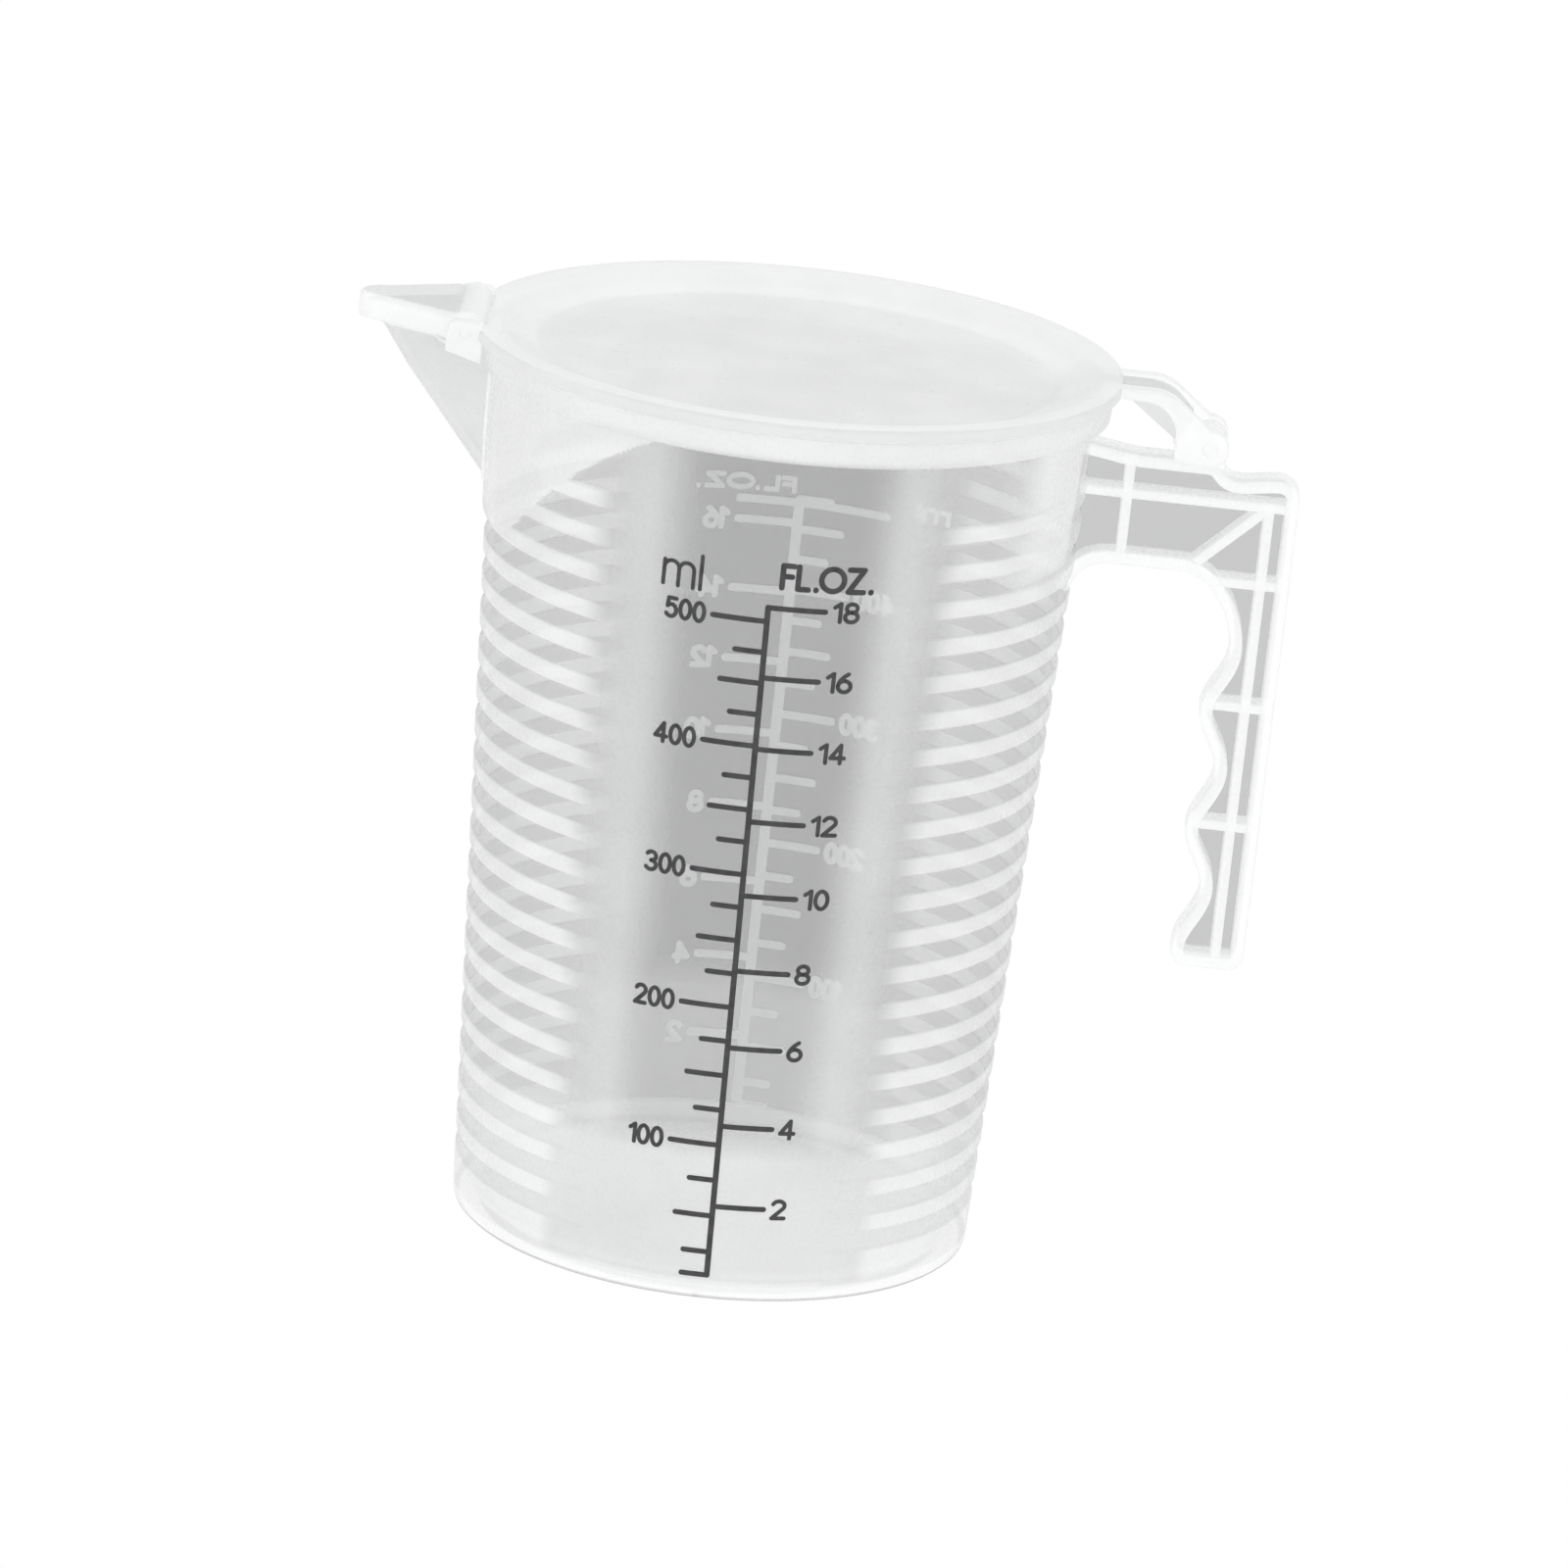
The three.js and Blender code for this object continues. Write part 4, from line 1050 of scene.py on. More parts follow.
@dataclass
class Handle:
    """Thin web at the back with a flange round it, ribs in front of it, finger bumps, thumb rest and hinge lug.

    Attributes:
        wall: The tapered wall.
        axis: Lid hinge axis in X and Z.
        top: Height of the arm's top.
        height: Height from the foot to the arm's top.
        back: X of the back.
        half_width: Half width of the flange.
        web: Web thickness.
        flange: Flange thickness.
        rib: Rib thickness.
        rib_recess: How far the ribs' front edges lie behind the flange's.
        rib_step: How much farther back each rib lies than the one before, so that no two faces coincide.
        arm_depth: Height of the arm.
        thumb_step: Drop from the arm's top to the thumb rest.
        thumb_dip: Depth of the control point of the dip before the thumb rest.
        thumb_radius: Radius of the thumb rest's end.
        foot_radius: Radius of the foot's corners.
        grip_depth: Mean depth of the grip.
        finger_pitch: Distance between finger bumps.
        finger_swell: Height of the bumps.
        grip_foot: Height of the lowest bump above the foot.
        grip_rib_rise: Height of a rib across the grip above its bump.
        lug_radius: Radius of the hinge lug.
        lug_half: Half width of the hinge lug.
        post: X of the post beside the wall.
        mid_rib_drop: Drop of the level rib below the arm's top.
        back_rib_inset: Distance of the upright rib from the back.
        strut_run: Run of the strut from the level rib to the arm's lower edge.
        palm_rib_drop: Drop of the rib behind the palm below the arm's lower edge.
        palm_rib_reach: Reach of that rib past the deepest part of the grip.
        web_clear: Clearness of the web.
        web_inset: How far the web's back lies inside the flange's.
        flange_round: Rounding of the flange's edges.
        rib_round: Rounding of the ribs' front edges.
        rib_sink: How far the ribs reach into the web.
        lug_round: Rounding of the lug's edges.
        root_sink: How far the arm's top starts inside the wall.
        root_rise: How much higher it starts than it runs on.
        root_run: Distance from the rim's wall to where it is level.
        step_past: Distance from the hinge axis to the step down to the thumb rest.
        arm_round: Rounding of the arm's top corners.
        bumps: Number of finger bumps, with the half wave above them.
        palm_run: Run of the curve from the grip to the arm's lower edge.
        under: Controls of the curve below the root, from the rim's wall and the arm's lower edge.
        under_points: Points along that curve.
        grip_points: Points along the grip.
        points: Points along the whole line.
    """

    wall: Wall
    axis: tuple[float, float]
    top: float = 123.7
    height: float = 76.8
    back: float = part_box("handle")[1].x / MM
    half_width: float = 2.9
    web: float = 1.2
    flange: float = 1.9
    rib: float = 1.5
    rib_recess: float = 0.3
    rib_step: float = 0.03
    arm_depth: float = 16.8
    thumb_step: float = 1.7
    thumb_dip: float = 1.4
    thumb_radius: float = 3.0
    foot_radius: float = 2.2
    grip_depth: float = 9.2
    finger_pitch: float = 18.3
    finger_swell: float = 1.6
    grip_foot: float = 2.8
    grip_rib_rise: float = 0.9
    lug_radius: float = 2.55
    lug_half: float = 2.85
    post: float = 49.69
    mid_rib_drop: float = 6.0
    back_rib_inset: float = 4.2
    strut_run: float = 11.3
    palm_rib_drop: float = 1.0
    palm_rib_reach: float = 3.4
    web_clear: float = 0.29
    web_inset: float = 0.05
    flange_round: float = 0.55
    rib_round: float = 0.35
    rib_sink: float = 0.4
    lug_round: float = 0.4
    root_sink: float = 0.4
    root_rise: float = 1.13
    root_run: float = 6.5
    step_past: float = 1.35
    arm_round: float = 1.2
    bumps: float = 2.5
    palm_run: float = 8.2
    under: tuple[tuple[float, float], ...] = ((4.5, 0.0), (1.5, 0.0), (-0.35, -1.5), (-1.2, -4.8))
    under_points: int = 12
    grip_points: int = 60
    points: int = 420

    def outline(self) -> Array:
        """Line round the handle from the top of its root, over the thumb rest, down the back and up the grip.

        The grip is a cosine wave with its bumps one pitch apart.

        Returns:
            Points in X and Z at even spacing.
        """
        foot = self.top - self.height
        bottom = self.top - self.arm_depth
        root = self.wall.radius(self.top) - self.root_sink
        rim_wall = self.wall.radius(self.wall.rim)
        step = self.axis[0] + self.step_past
        thumb = (step + self.thumb_step, self.top - self.thumb_step)
        arm_top = np.array([(root, self.top + self.root_rise), (rim_wall + self.root_run, self.top),
                            (step, self.top), thumb])
        round_end, corner_round = self.thumb_radius, self.foot_radius
        thumb_end = self.back - round_end
        dip = (thumb[0] + self.thumb_dip, thumb[1] - self.thumb_dip)
        rest = bezier([thumb, dip, (thumb_end - round_end, thumb[1]), (thumb_end, thumb[1])], CURVE_STEPS)
        lowest = foot + self.grip_foot
        wave_height = np.linspace(lowest, lowest + self.bumps * self.finger_pitch, self.grip_points)
        wave = np.cos(2 * math.pi * (wave_height - lowest) / self.finger_pitch)
        grip = np.column_stack([self.back - self.grip_depth - self.finger_swell * wave, wave_height])
        grip_top, corner = grip[-1], grip[-1, 0] - self.palm_run
        palm = bezier([(grip_top[0], grip_top[1]), (grip_top[0], (grip_top[1] + bottom) / 2),
                       ((grip_top[0] + corner) / 2, bottom), (corner, bottom)], CURVE_STEPS)
        under = bezier([(rim_wall + across, bottom + above) for across, above in self.under], self.under_points)
        foot_round = (corner_round, corner_round)
        line = np.concatenate([
            softened(arm_top, self.arm_round, closed=False),
            rest[1:],
            arc((thumb_end, thumb[1] - round_end), (round_end, round_end), 85, 0, CORNER_STEPS),
            arc((self.back - corner_round, foot + corner_round), foot_round, 0, -90, CORNER_STEPS),
            arc((grip[0, 0] + corner_round, foot + corner_round), foot_round, -90, -180, CORNER_STEPS),
            grip,
            palm[1:],
            under,
        ])
        return resampled(line, self.points)

    def bars(self) -> list[tuple[tuple[float, float], tuple[float, float]]]:
        """Ends of the ribs across the web, each stopping inside the flange.

        Returns:
            Pairs of points in X and Z.
        """
        hidden = self.flange / 2
        foot, bottom = self.top - self.height, self.top - self.arm_depth
        upright, end = self.back - self.back_rib_inset, self.back - hidden
        level = self.top - self.mid_rib_drop
        root = self.wall.radius(level) - hidden / 2
        strut_end = upright - self.strut_run * (level - bottom - hidden) / (level - bottom)
        palm = bottom - self.palm_rib_drop
        deepest = self.back - self.grip_depth + self.finger_swell
        bars = [
            ((self.post, self.top - hidden), (self.post, bottom + hidden)),
            ((root, level), (end, level)),
            ((upright, level), (upright, foot + hidden)),
            ((upright, level), (strut_end, bottom + hidden)),
            ((deepest - self.palm_rib_reach, palm), (end, palm)),
        ]
        grip = deepest - 2 * self.finger_swell + hidden
        for bump in (1, 2):
            height = foot + self.grip_foot + bump * self.finger_pitch + self.grip_rib_rise
            bars.append(((grip, height), (end, height)))
        return bars

    def build(self, material: bpy.types.Material) -> None:
        """Make the flange, the web, the ribs and the hinge lug.

        Args:
            material: Their finish.
        """
        handle = Patchwork()
        line = self.outline()
        handle.sweep(line, round_bar(self.half_width, self.flange, self.flange_round), 1.0)
        web = line + right_normals(line) * self.flange / 2
        web_front = self.half_width - self.web
        web_sides = np.array([web_front, self.half_width - self.web_inset])
        handle.stack(web, np.zeros(2), web_sides, 0.0, Plane.SIDE, self.web_clear)
        for number, (start, end) in enumerate(self.bars()):
            run = np.array(end) - np.array(start)
            side = np.array([-run[1], run[0]]) / np.linalg.norm(run) * self.rib / 2
            corners = np.array([start + side, start - side, end - side, end + side])
            front = self.rib_recess + number * self.rib_step - self.half_width
            insets, heights = rounded_ends(front, web_front + self.rib_sink, self.rib_round)
            handle.stack(corners, insets, heights, 1.0, Plane.SIDE)
        lug_foot = self.top - self.flange / 2
        lug = np.concatenate([
            arc(self.axis, (self.lug_radius, self.lug_radius), 0, 180, 24),
            np.array([(self.axis[0] - self.lug_radius, lug_foot), (self.axis[0] + self.lug_radius, lug_foot)]),
        ])
        insets, heights = rounded_ends(-self.lug_half, self.lug_half, self.lug_round)
        handle.stack(lug, insets, heights, 1.0, Plane.SIDE)
        handle.make("handle_frame", material, Body.JUG, Slot.CLEAR, "handle")


class Lettering:
    """Plain numerals and unit letters drawn as strokes of a round pen, in a box one unit tall."""

    GAP = 0.2

    def __init__(self) -> None:
        """Draw the glyphs once, as lists of smooth strokes."""
        self.glyphs: dict[str, list[Array]] = {
            "0": [arc((0.25, 0.5), (0.25, 0.5), 90, 450, 33)],
            "1": self.line((0.02, 0.78), (0.26, 1.0), (0.26, 0.0)),
            "2": [np.concatenate([arc((0.26, 0.73), (0.25, 0.27), 160, -30, 18), [(0.0, 0.0)]]),
                  *self.line((0.0, 0.0), (0.52, 0.0))],
            "3": [arc((0.24, 0.755), (0.24, 0.245), 150, -90, 20), arc((0.24, 0.26), (0.27, 0.26), 90, -150, 20)],
            "4": self.line((0.4, 0.0), (0.4, 1.0), (0.0, 0.28), (0.56, 0.28)),
            "5": [*self.line((0.47, 1.0), (0.09, 1.0), (0.05, 0.55)),
                  arc((0.24, 0.33), (0.27, 0.33), 135, -145, 22)],
            "6": [arc((0.26, 0.31), (0.26, 0.31), 90, 450, 29),
                  bezier([(0.4, 1.0), (0.22, 0.86), (0.0, 0.62), (0.0, 0.31)], 12)],
            "8": [arc((0.26, 0.76), (0.22, 0.24), 90, 450, 27), arc((0.26, 0.27), (0.26, 0.27), 90, 450, 29)],
            "m": [*self.line((0.0, 0.0), (0.0, 0.72)), *self.hump(0.0), *self.hump(0.42)],
            "l": self.line((0.0, 0.0), (0.0, 1.0)),
            "F": self.line((0.0, 0.0), (0.0, 1.0), (0.46, 1.0)) + self.line((0.0, 0.52), (0.4, 0.52)),
            "L": self.line((0.0, 1.0), (0.0, 0.0), (0.44, 0.0)),
            "O": [arc((0.47, 0.5), (0.47, 0.5), 90, 450, 37)],
            "Z": self.line((0.0, 1.0), (0.6, 1.0), (0.0, 0.0), (0.62, 0.0)),
            ".": self.line((0.12, 0.0), (0.12, 0.02)),
        }

    @staticmethod
    def line(*points: tuple[float, float]) -> list[Array]:
        """Straight strokes between neighbouring points."""
        return [np.array(pair, float) for pair in zip(points[:-1], points[1:])]

    @staticmethod
    def hump(start: float) -> list[Array]:
        """Arch and right leg of a small m that starts at a leg."""
        bend = arc((start + 0.21, 0.5), (0.21, 0.22), 180, 0, 14)
        return [np.concatenate([bend, [(start + 0.42, 0.0)]])]

    def strokes(self, text: str, height: float, width: float, anchor: tuple[float, float],
                align: Align) -> list[Array]:
        """Lay out a label.

        Args:
            text: Characters of the label.
            height: Height of a capital, from pen middle to pen middle.
            width: Width scale of the characters, in millimetres for a unit.
            anchor: X of the label's end and Z of its foot.
            align: Which end of the label stands at the anchor.

        Returns:
            Strokes in X and Z.
        """
        placed, reach = [], 0.0
        for character in text:
            strokes = self.glyphs[character]
            placed += [stroke + np.array([reach, 0.0]) for stroke in strokes]
            reach += max(stroke[:, 0].max() for stroke in strokes) + self.GAP
        start = np.array([(reach - self.GAP) * align.value, 0.0])
        size, foot = np.array([width, height]), np.array(anchor)
        return [(stroke - start) * size + foot for stroke in placed]


@dataclass
class Scale:
    """Capacity scale on the wall: a spine with millilitre marks on its left and ounce marks on its right.

    Attributes:
        wall: The tapered wall.
        side: Side of the wall that it lies on.
        spine: X of the spine at its foot and at its head.
        top_ml: Highest millilitre mark.
        top_ounce: Highest ounce mark.
        depth: Lowest and highest distance of the marks off the wall.
        pen: Width of the label strokes.
        units: Unit names over the scale, each with its height, width scale, pen width, and X and Z of its foot.
        foot: Height of the spine's foot.
        ounce: Millilitres in a fluid ounce.
        spine_width: Width of the spine.
        tick: Thickness of a mark.
        tick_lengths: Lengths of hundred, fifty and other millilitre marks, at the head.
        ounce_length: Length of an ounce mark, at the head.
        label_height: Height of the numbers.
        label_gap: Distance from a mark's end to its number.
        drop: How much lower than its volume says the scale was put on.
        crown: Height of a crossbar over the highest ounce mark, or 0 for none.
        crown_reach: Length of the crossbar's left side, in ounce marks.
        ml_step: Millilitres between marks.
        ounce_step: Ounces between marks.
        label_widths: Width of millilitre and of ounce numbers, for each unit of their height.
        spacing: Distance between the points of a ribbon.
        strokes: Lines to be drawn, each with its pen width.
    """

    wall: Wall
    side: Side
    spine: tuple[float, float]
    top_ml: int
    top_ounce: int
    depth: tuple[float, float]
    pen: float
    units: tuple[tuple[str, float, float, float, tuple[float, float]], ...]
    foot: float = 3.75
    ounce: float = 28.41
    spine_width: float = 0.85
    tick: float = 0.78
    tick_lengths: tuple[float, float, float] = (7.7, 5.95, 4.15)
    ounce_length: float = 8.05
    label_height: float = 2.7
    label_gap: float = 0.65
    drop: float = 0.55
    crown: float = 0.0
    crown_reach: float = 1.5
    ml_step: int = 25
    ounce_step: int = 2
    label_widths: tuple[float, float] = (1.05, 1.27)
    spacing: float = 0.7
    strokes: list[tuple[Array, float]] = field(default_factory=list)

    def ribbon(self, stroke: Array, pen: float) -> Array:
        """Raised ribbon on the wall along a stroke, with round ends.

        The pen's half width follows a half circle beyond each end. Each section is a loop of four points, at
        both sides of the stroke and at both depths, laid on the wall at its X and height.

        Args:
            stroke: Points in X and Z.
            pen: Width of the ribbon.

        Returns:
            Points along the ribbon by 4 by 3.
        """
        run = np.linalg.norm(np.diff(stroke, axis=0), axis=1).sum()
        path = resampled(stroke, max(3, len(stroke), int(run / self.spacing)))
        normal = right_normals(path)
        along = np.stack([-normal[:, 1], normal[:, 0]], axis=1)
        turn = np.radians(np.array([0.0, 25.0, 50.0, 75.0]))
        before = path[0] - pen / 2 * np.cos(turn)[:, None] * along[0]
        after = path[-1] + pen / 2 * np.cos(turn)[::-1, None] * along[-1]
        half = pen / 2 * np.concatenate([np.sin(turn), np.ones(len(path)), np.sin(turn)[::-1]])
        ends = (len(turn), 1)
        normals = np.concatenate([np.tile(normal[0], ends), normal, np.tile(normal[-1], ends)])
        centre = np.concatenate([before, path, after])
        left = centre - normals * half[:, None]
        right = centre + normals * half[:, None]
        flat = np.stack([left, left, right, right], axis=1)
        low, high = self.depth
        radius = self.wall.radius(flat[:, :, 1]) + np.array([low, high, high, low])
        across = -self.side.value * flat[:, :, 0]
        return np.stack([across, self.side.value * np.sqrt(radius**2 - across**2), flat[:, :, 1]], axis=2)

    def level(self, millilitres: float) -> float:
        """Height of the mark of a volume."""
        return float(self.wall.mark_height(np.array(millilitres))) - self.drop

    def draw(self) -> None:
        """Collect the strokes of the spine, the marks, the numbers and the unit names.

        The marks narrow downwards with the wall's taper, and the spine leans from its foot to its head.
        """
        letters = Lettering()
        head = self.level(self.ounce * self.top_ounce)
        slope = (self.spine[1] - self.spine[0]) / (head - self.foot)
        spine = np.array([(self.spine[0], self.foot), (self.spine[1], head + self.crown)])
        self.strokes.append((spine, self.spine_width))
        hundred, fifty, short = self.tick_lengths
        marks = [(self.foot, -1, short, "")]
        for volume in range(self.ml_step, self.top_ml + 1, self.ml_step):
            length = hundred if volume % 100 == 0 else fifty if volume % 50 == 0 else short
            label = str(volume) if volume % 100 == 0 else ""
            marks.append((self.level(volume), -1, length, label))
        for ounces in range(self.ounce_step, self.top_ounce + 1, self.ounce_step):
            marks.append((self.level(ounces * self.ounce), 1, self.ounce_length, str(ounces)))
        if self.crown:
            crown, left = head + self.crown, self.crown_reach * self.ounce_length
            marks += [(crown, -1, left, ""), (crown, 1, self.ounce_length, "")]
        ml_width, ounce_width = self.label_widths
        for height, direction, length, label in marks:
            narrowing = self.wall.radius(height) / self.wall.radius(head)
            start = self.spine[0] + slope * (height - self.foot)
            end = start + direction * (length + self.spine_width / 2 - self.tick / 2) * narrowing
            self.strokes.append((np.array([(start, height), (end, height)]), self.tick))
            if label:
                align, broad = (Align.RIGHT, ml_width) if direction < 0 else (Align.LEFT, ounce_width)
                anchor = (end + direction * (self.label_gap + self.pen), height - self.label_height / 2)
                strokes = letters.strokes(label, self.label_height, self.label_height * broad, anchor, align)
                self.strokes += [(stroke, self.pen) for stroke in strokes]
        for text, height, width, pen, anchor in self.units:
            strokes = letters.strokes(text, height, width, anchor, Align.LEFT)
            self.strokes += [(stroke, pen) for stroke in strokes]

    def build(self, name: str, material: bpy.types.Material, slot: Slot, *nodes: str) -> None:
        """Make the marks as one mesh of ribbons.

        Args:
            name: Name of the piece.
            material: Its finish.
            slot: Material slot of the record.
            nodes: Frame nodes that it replaces.
        """
        self.draw()
        marks = Patchwork()
        for stroke, pen in self.strokes:
            marks.grid(self.ribbon(stroke, pen), 1.0)
        marks.make(name, material, Body.JUG, slot, *nodes)


def round_pin(pieces: Patchwork, axis: tuple[float, float], radius: float, reach: tuple[float, float], edge: float,
              milk: float = 1.0) -> None:
    """Add a round bar along Y with rounded end edges.

    Args:
        pieces: Patchwork that it goes into.
        axis: Its middle in X and Z.
        radius: Its radius.
        reach: Y of its two ends.
        edge: Rounding of its ends.
        milk: Milkiness.
    """
    insets, heights = rounded_ends(*reach, edge)
    pieces.stack(arc(axis, (radius, radius), 0, 352.5, 48), insets, heights, milk, Plane.SIDE)


@dataclass
class Lid:
    """Dished lid with a flange on the rim, a plug inside the wall, a tail to its hinge and two ears.

    Attributes:
        axis: Axis of its own hinge in X and Z.
        cover_axis: Axis of the spout cover's hinge in X and Z.
        radius: Radius of the flange.
        seat: Height of the flange's underside.
        flange: Thickness of the flange.
        thickness: Thickness of the dish.
        dish_radius: Radius of the dish's floor.
        dish_depth: Depth of the dish.
        rim_width: Width of the flange's flat top.
        plug_foot: Height of the plug's foot.
        plug_radius: Radius of the plug at the seat.
        plug_draft: How much the plug narrows to its foot.
        plug_wall: Thickness of the plug.
        knuckle_radius: Radius of the tail's knuckles.
        pin_radius: Radius of the hinge pin.
        tail_half: Half width of the tail.
        rail_width: Width of a rail.
        rail: Thickness of a rail.
        plate: Thickness of the plate between the rails.
        elbow_back: Distance of the elbow from the hinge axis.
        gusset_back: Distance of the gusset under the elbow from the hinge axis.
        notch_half: Half width of the room for the cover's knuckle.
        notch: X of that room's inner side.
        ear_width: Width of an ear.
        ear_radius: Reach of an ear beyond its axis.
        ear_above: How far an ear reaches above its axis.
        ear_below: How far an ear reaches below its axis at its outer and inner sides.
        ear_tab: Reach of an ear's tab over the flange.
        cover_pin_radius: Radius of the cover's hinge pin.
        pour_half: Half width of the plug's gap for pouring.
        gate: Radius of each point of the moulding mark in the floor's middle, and its height over the floor.
        profile_rounds: Rounding of the profile's corners, from the middle below to the middle above.
        floor_milk: Milkiness of the dish's floor.
        slope_gain: How much milkier the slope is than the floor, painted light that lightens the slope's ring.
        rim_gain: How much milkier the flange's top is than the slope.
        edge_loss: How much less milky the flange's edge is than its top, painted shade that greys a line along the
            edge.
        floor_fade: Distances from the floor's edge between which the milkiness changes.
        rim_fade: The same from the slope's top.
        edge_fade: The same from the flange's edge.
        tail_lift: How far the tail's underside lies above the seat.
        elbow_round: Rounding of the elbow's top.
        elbow_under: How far the elbow's underside starts before its top.
        gusset_reach: How far the gusset reaches below and above the hinge axis.
        lower_rounds: Rounding of the corners under the tail, from the knuckle to the flange.
        cheek_round: Rounding of the cheeks' edges.
        brace: Corners of the brace, from the tail's start, twice from gusset and axis, and from the elbow.
        brace_half: Half thickness of the brace.
        brace_milk: Milkiness of the brace.
        plate_points: Points from the flange to the hinge axis, and how many of them the plate has.
        plate_bend: Rounding of the plate's elbow.
        plate_sink: How far the plate reaches into the cheeks.
        plate_round: Rounding of the plate's edges.
        plate_milk: Milkiness of the plate.
        ear_inset: How far an ear's inner side lies before the room's.
        ear_chamfer: Chamfer of an ear's inner corner.
        ear_round: Rounding of an ear's edges.
        tab_sink: How far a tab lies below the flange's top.
        tab_inset: How far a tab's sides lie inside its ear's.
        pin_proud: How far a pin stands out at each end.
        pin_rounds: Rounding of the lid's and of the cover's pin.
    """

    axis: tuple[float, float]
    cover_axis: tuple[float, float]
    radius: float = 47.387
    seat: float = 132.3
    flange: float = 2.0
    thickness: float = 1.4
    dish_radius: float = 38.0
    dish_depth: float = 2.8
    rim_width: float = 3.4
    plug_foot: float = 127.5
    plug_radius: float = 42.387
    plug_draft: float = 0.9
    plug_wall: float = 1.4
    knuckle_radius: float = 2.7
    pin_radius: float = 1.2
    tail_half: float = 6.0
    rail_width: float = 2.8
    rail: float = 1.9
    plate: float = 1.0
    elbow_back: float = 6.8
    gusset_back: float = 5.2
    notch_half: float = 9.7
    notch: float = -44.99
    ear_width: float = 2.6
    ear_radius: float = 2.7
    ear_above: float = 1.6
    ear_below: tuple[float, float] = (2.9, 4.4)
    ear_tab: float = 4.8
    cover_pin_radius: float = 0.9
    pour_half: float = 8.5
    gate: tuple[tuple[float, float], ...] = ((2.0, 0.0), (1.5, 0.3), (0.0, 0.35))
    profile_rounds: tuple[float, ...] = (0.0, 1.0, 0.4, 0.5, 0.5, 0.3, 0.5, 0.7, 1.1, 1.6, 0.3, 0.4, 0.0)
    floor_milk: float = 0.65
    slope_gain: float = 0.045
    rim_gain: float = 0.155
    edge_loss: float = 0.27
    floor_fade: tuple[float, float] = (-0.6, 0.6)
    rim_fade: tuple[float, float] = (-0.8, 0.4)
    edge_fade: tuple[float, float] = (-0.5, -0.1)
    tail_lift: float = 0.1
    elbow_round: float = 2.2
    elbow_under: float = 1.4
    gusset_reach: tuple[float, float] = (2.3, 3.2)
    lower_rounds: tuple[float, ...] = (0.0, 0.8, 2.6, 2.6, 0.0)
    cheek_round: float = 0.45
    brace: tuple[tuple[float, float], ...] = ((3.2, 0.0), (0.3, -0.4), (1.6, 1.0), (0.8, 0.0))
    brace_half: float = 0.5
    brace_milk: float = 0.55
    plate_points: tuple[int, int] = (40, 31)
    plate_bend: float = 3.0
    plate_sink: float = 0.3
    plate_round: float = 0.1
    plate_milk: float = 0.5
    ear_inset: float = 0.25
    ear_chamfer: float = 0.5
    ear_round: float = 0.35
    tab_sink: float = 0.05
    tab_inset: float = 0.2
    pin_proud: float = 0.15
    pin_rounds: tuple[float, float] = (0.35, 0.3)

    def milk(self, radius: Array) -> Array:
        """Milkiness of the disc: a step at the floor's edge, at the slope's top and at the flange's edge; the
        lighter slope is painted light and the greyer flange edge painted shade.

        Args:
            radius: Radii on the disc.

        Returns:
            Milkiness from 0 to 1.
        """
        edges = (self.dish_radius, self.radius - self.rim_width, self.radius)
        fades = (self.floor_fade, self.rim_fade, self.edge_fade)
        past_floor, past_slope, painted_edge_line = (
            smoothstep(edge + start, edge + end, radius) for edge, (start, end) in zip(edges, fades))
        # painted light on the slope and painted shade at the flange's edge, over the floor's and the flange's
        # milkiness
        return (self.floor_milk + self.slope_gain * past_floor + self.rim_gain * past_slope
                - self.edge_loss * painted_edge_line)

    def disc(self, pieces: Patchwork) -> None:
        """Add the turned disc, cut back at the cover's knuckle and with a gap in its plug for pouring.

        Args:
            pieces: Patchwork that it goes into.
        """
        top = self.seat + self.flange
        floor = top - self.dish_depth
        under = floor - self.thickness
        slope_top = self.radius - self.rim_width
        slope = self.dish_depth / (slope_top - self.dish_radius)
        plug_inner = self.plug_radius - self.plug_draft - self.plug_wall
        corners = np.array([
            [0.0, under], [self.dish_radius, under], [plug_inner, under + (plug_inner - self.dish_radius) * slope],
            [plug_inner, self.plug_foot], [self.plug_radius - self.plug_draft, self.plug_foot],
            [self.plug_radius, self.seat], [self.radius, self.seat], [self.radius, top], [slope_top, top],
            [self.dish_radius, floor], *[[across, floor + rise] for across, rise in self.gate],
        ])
        profile = softened(corners, np.array(self.profile_rounds), closed=False)
        angle = spread((-15, 15, 0.25), (15, 345, 1.5))
        radius = profile[:, :1] * np.ones_like(angle)[None, :]
        height = profile[:, 1:] * np.ones_like(radius)
        across = np.abs(radius * np.sin(angle))
        at_spout = np.cos(angle)[None, :] > 0.0
        height = np.where(at_spout & (across < self.pour_half) & (radius > self.dish_radius),
                          np.maximum(height, under), height)
        notched = at_spout & (across < self.notch_half)
        radius = np.where(notched, np.minimum(radius, -self.notch / np.cos(angle)), radius)
        pieces.grid(lathe(radius, height, angle), self.milk(profile[:, 0])[:, None])

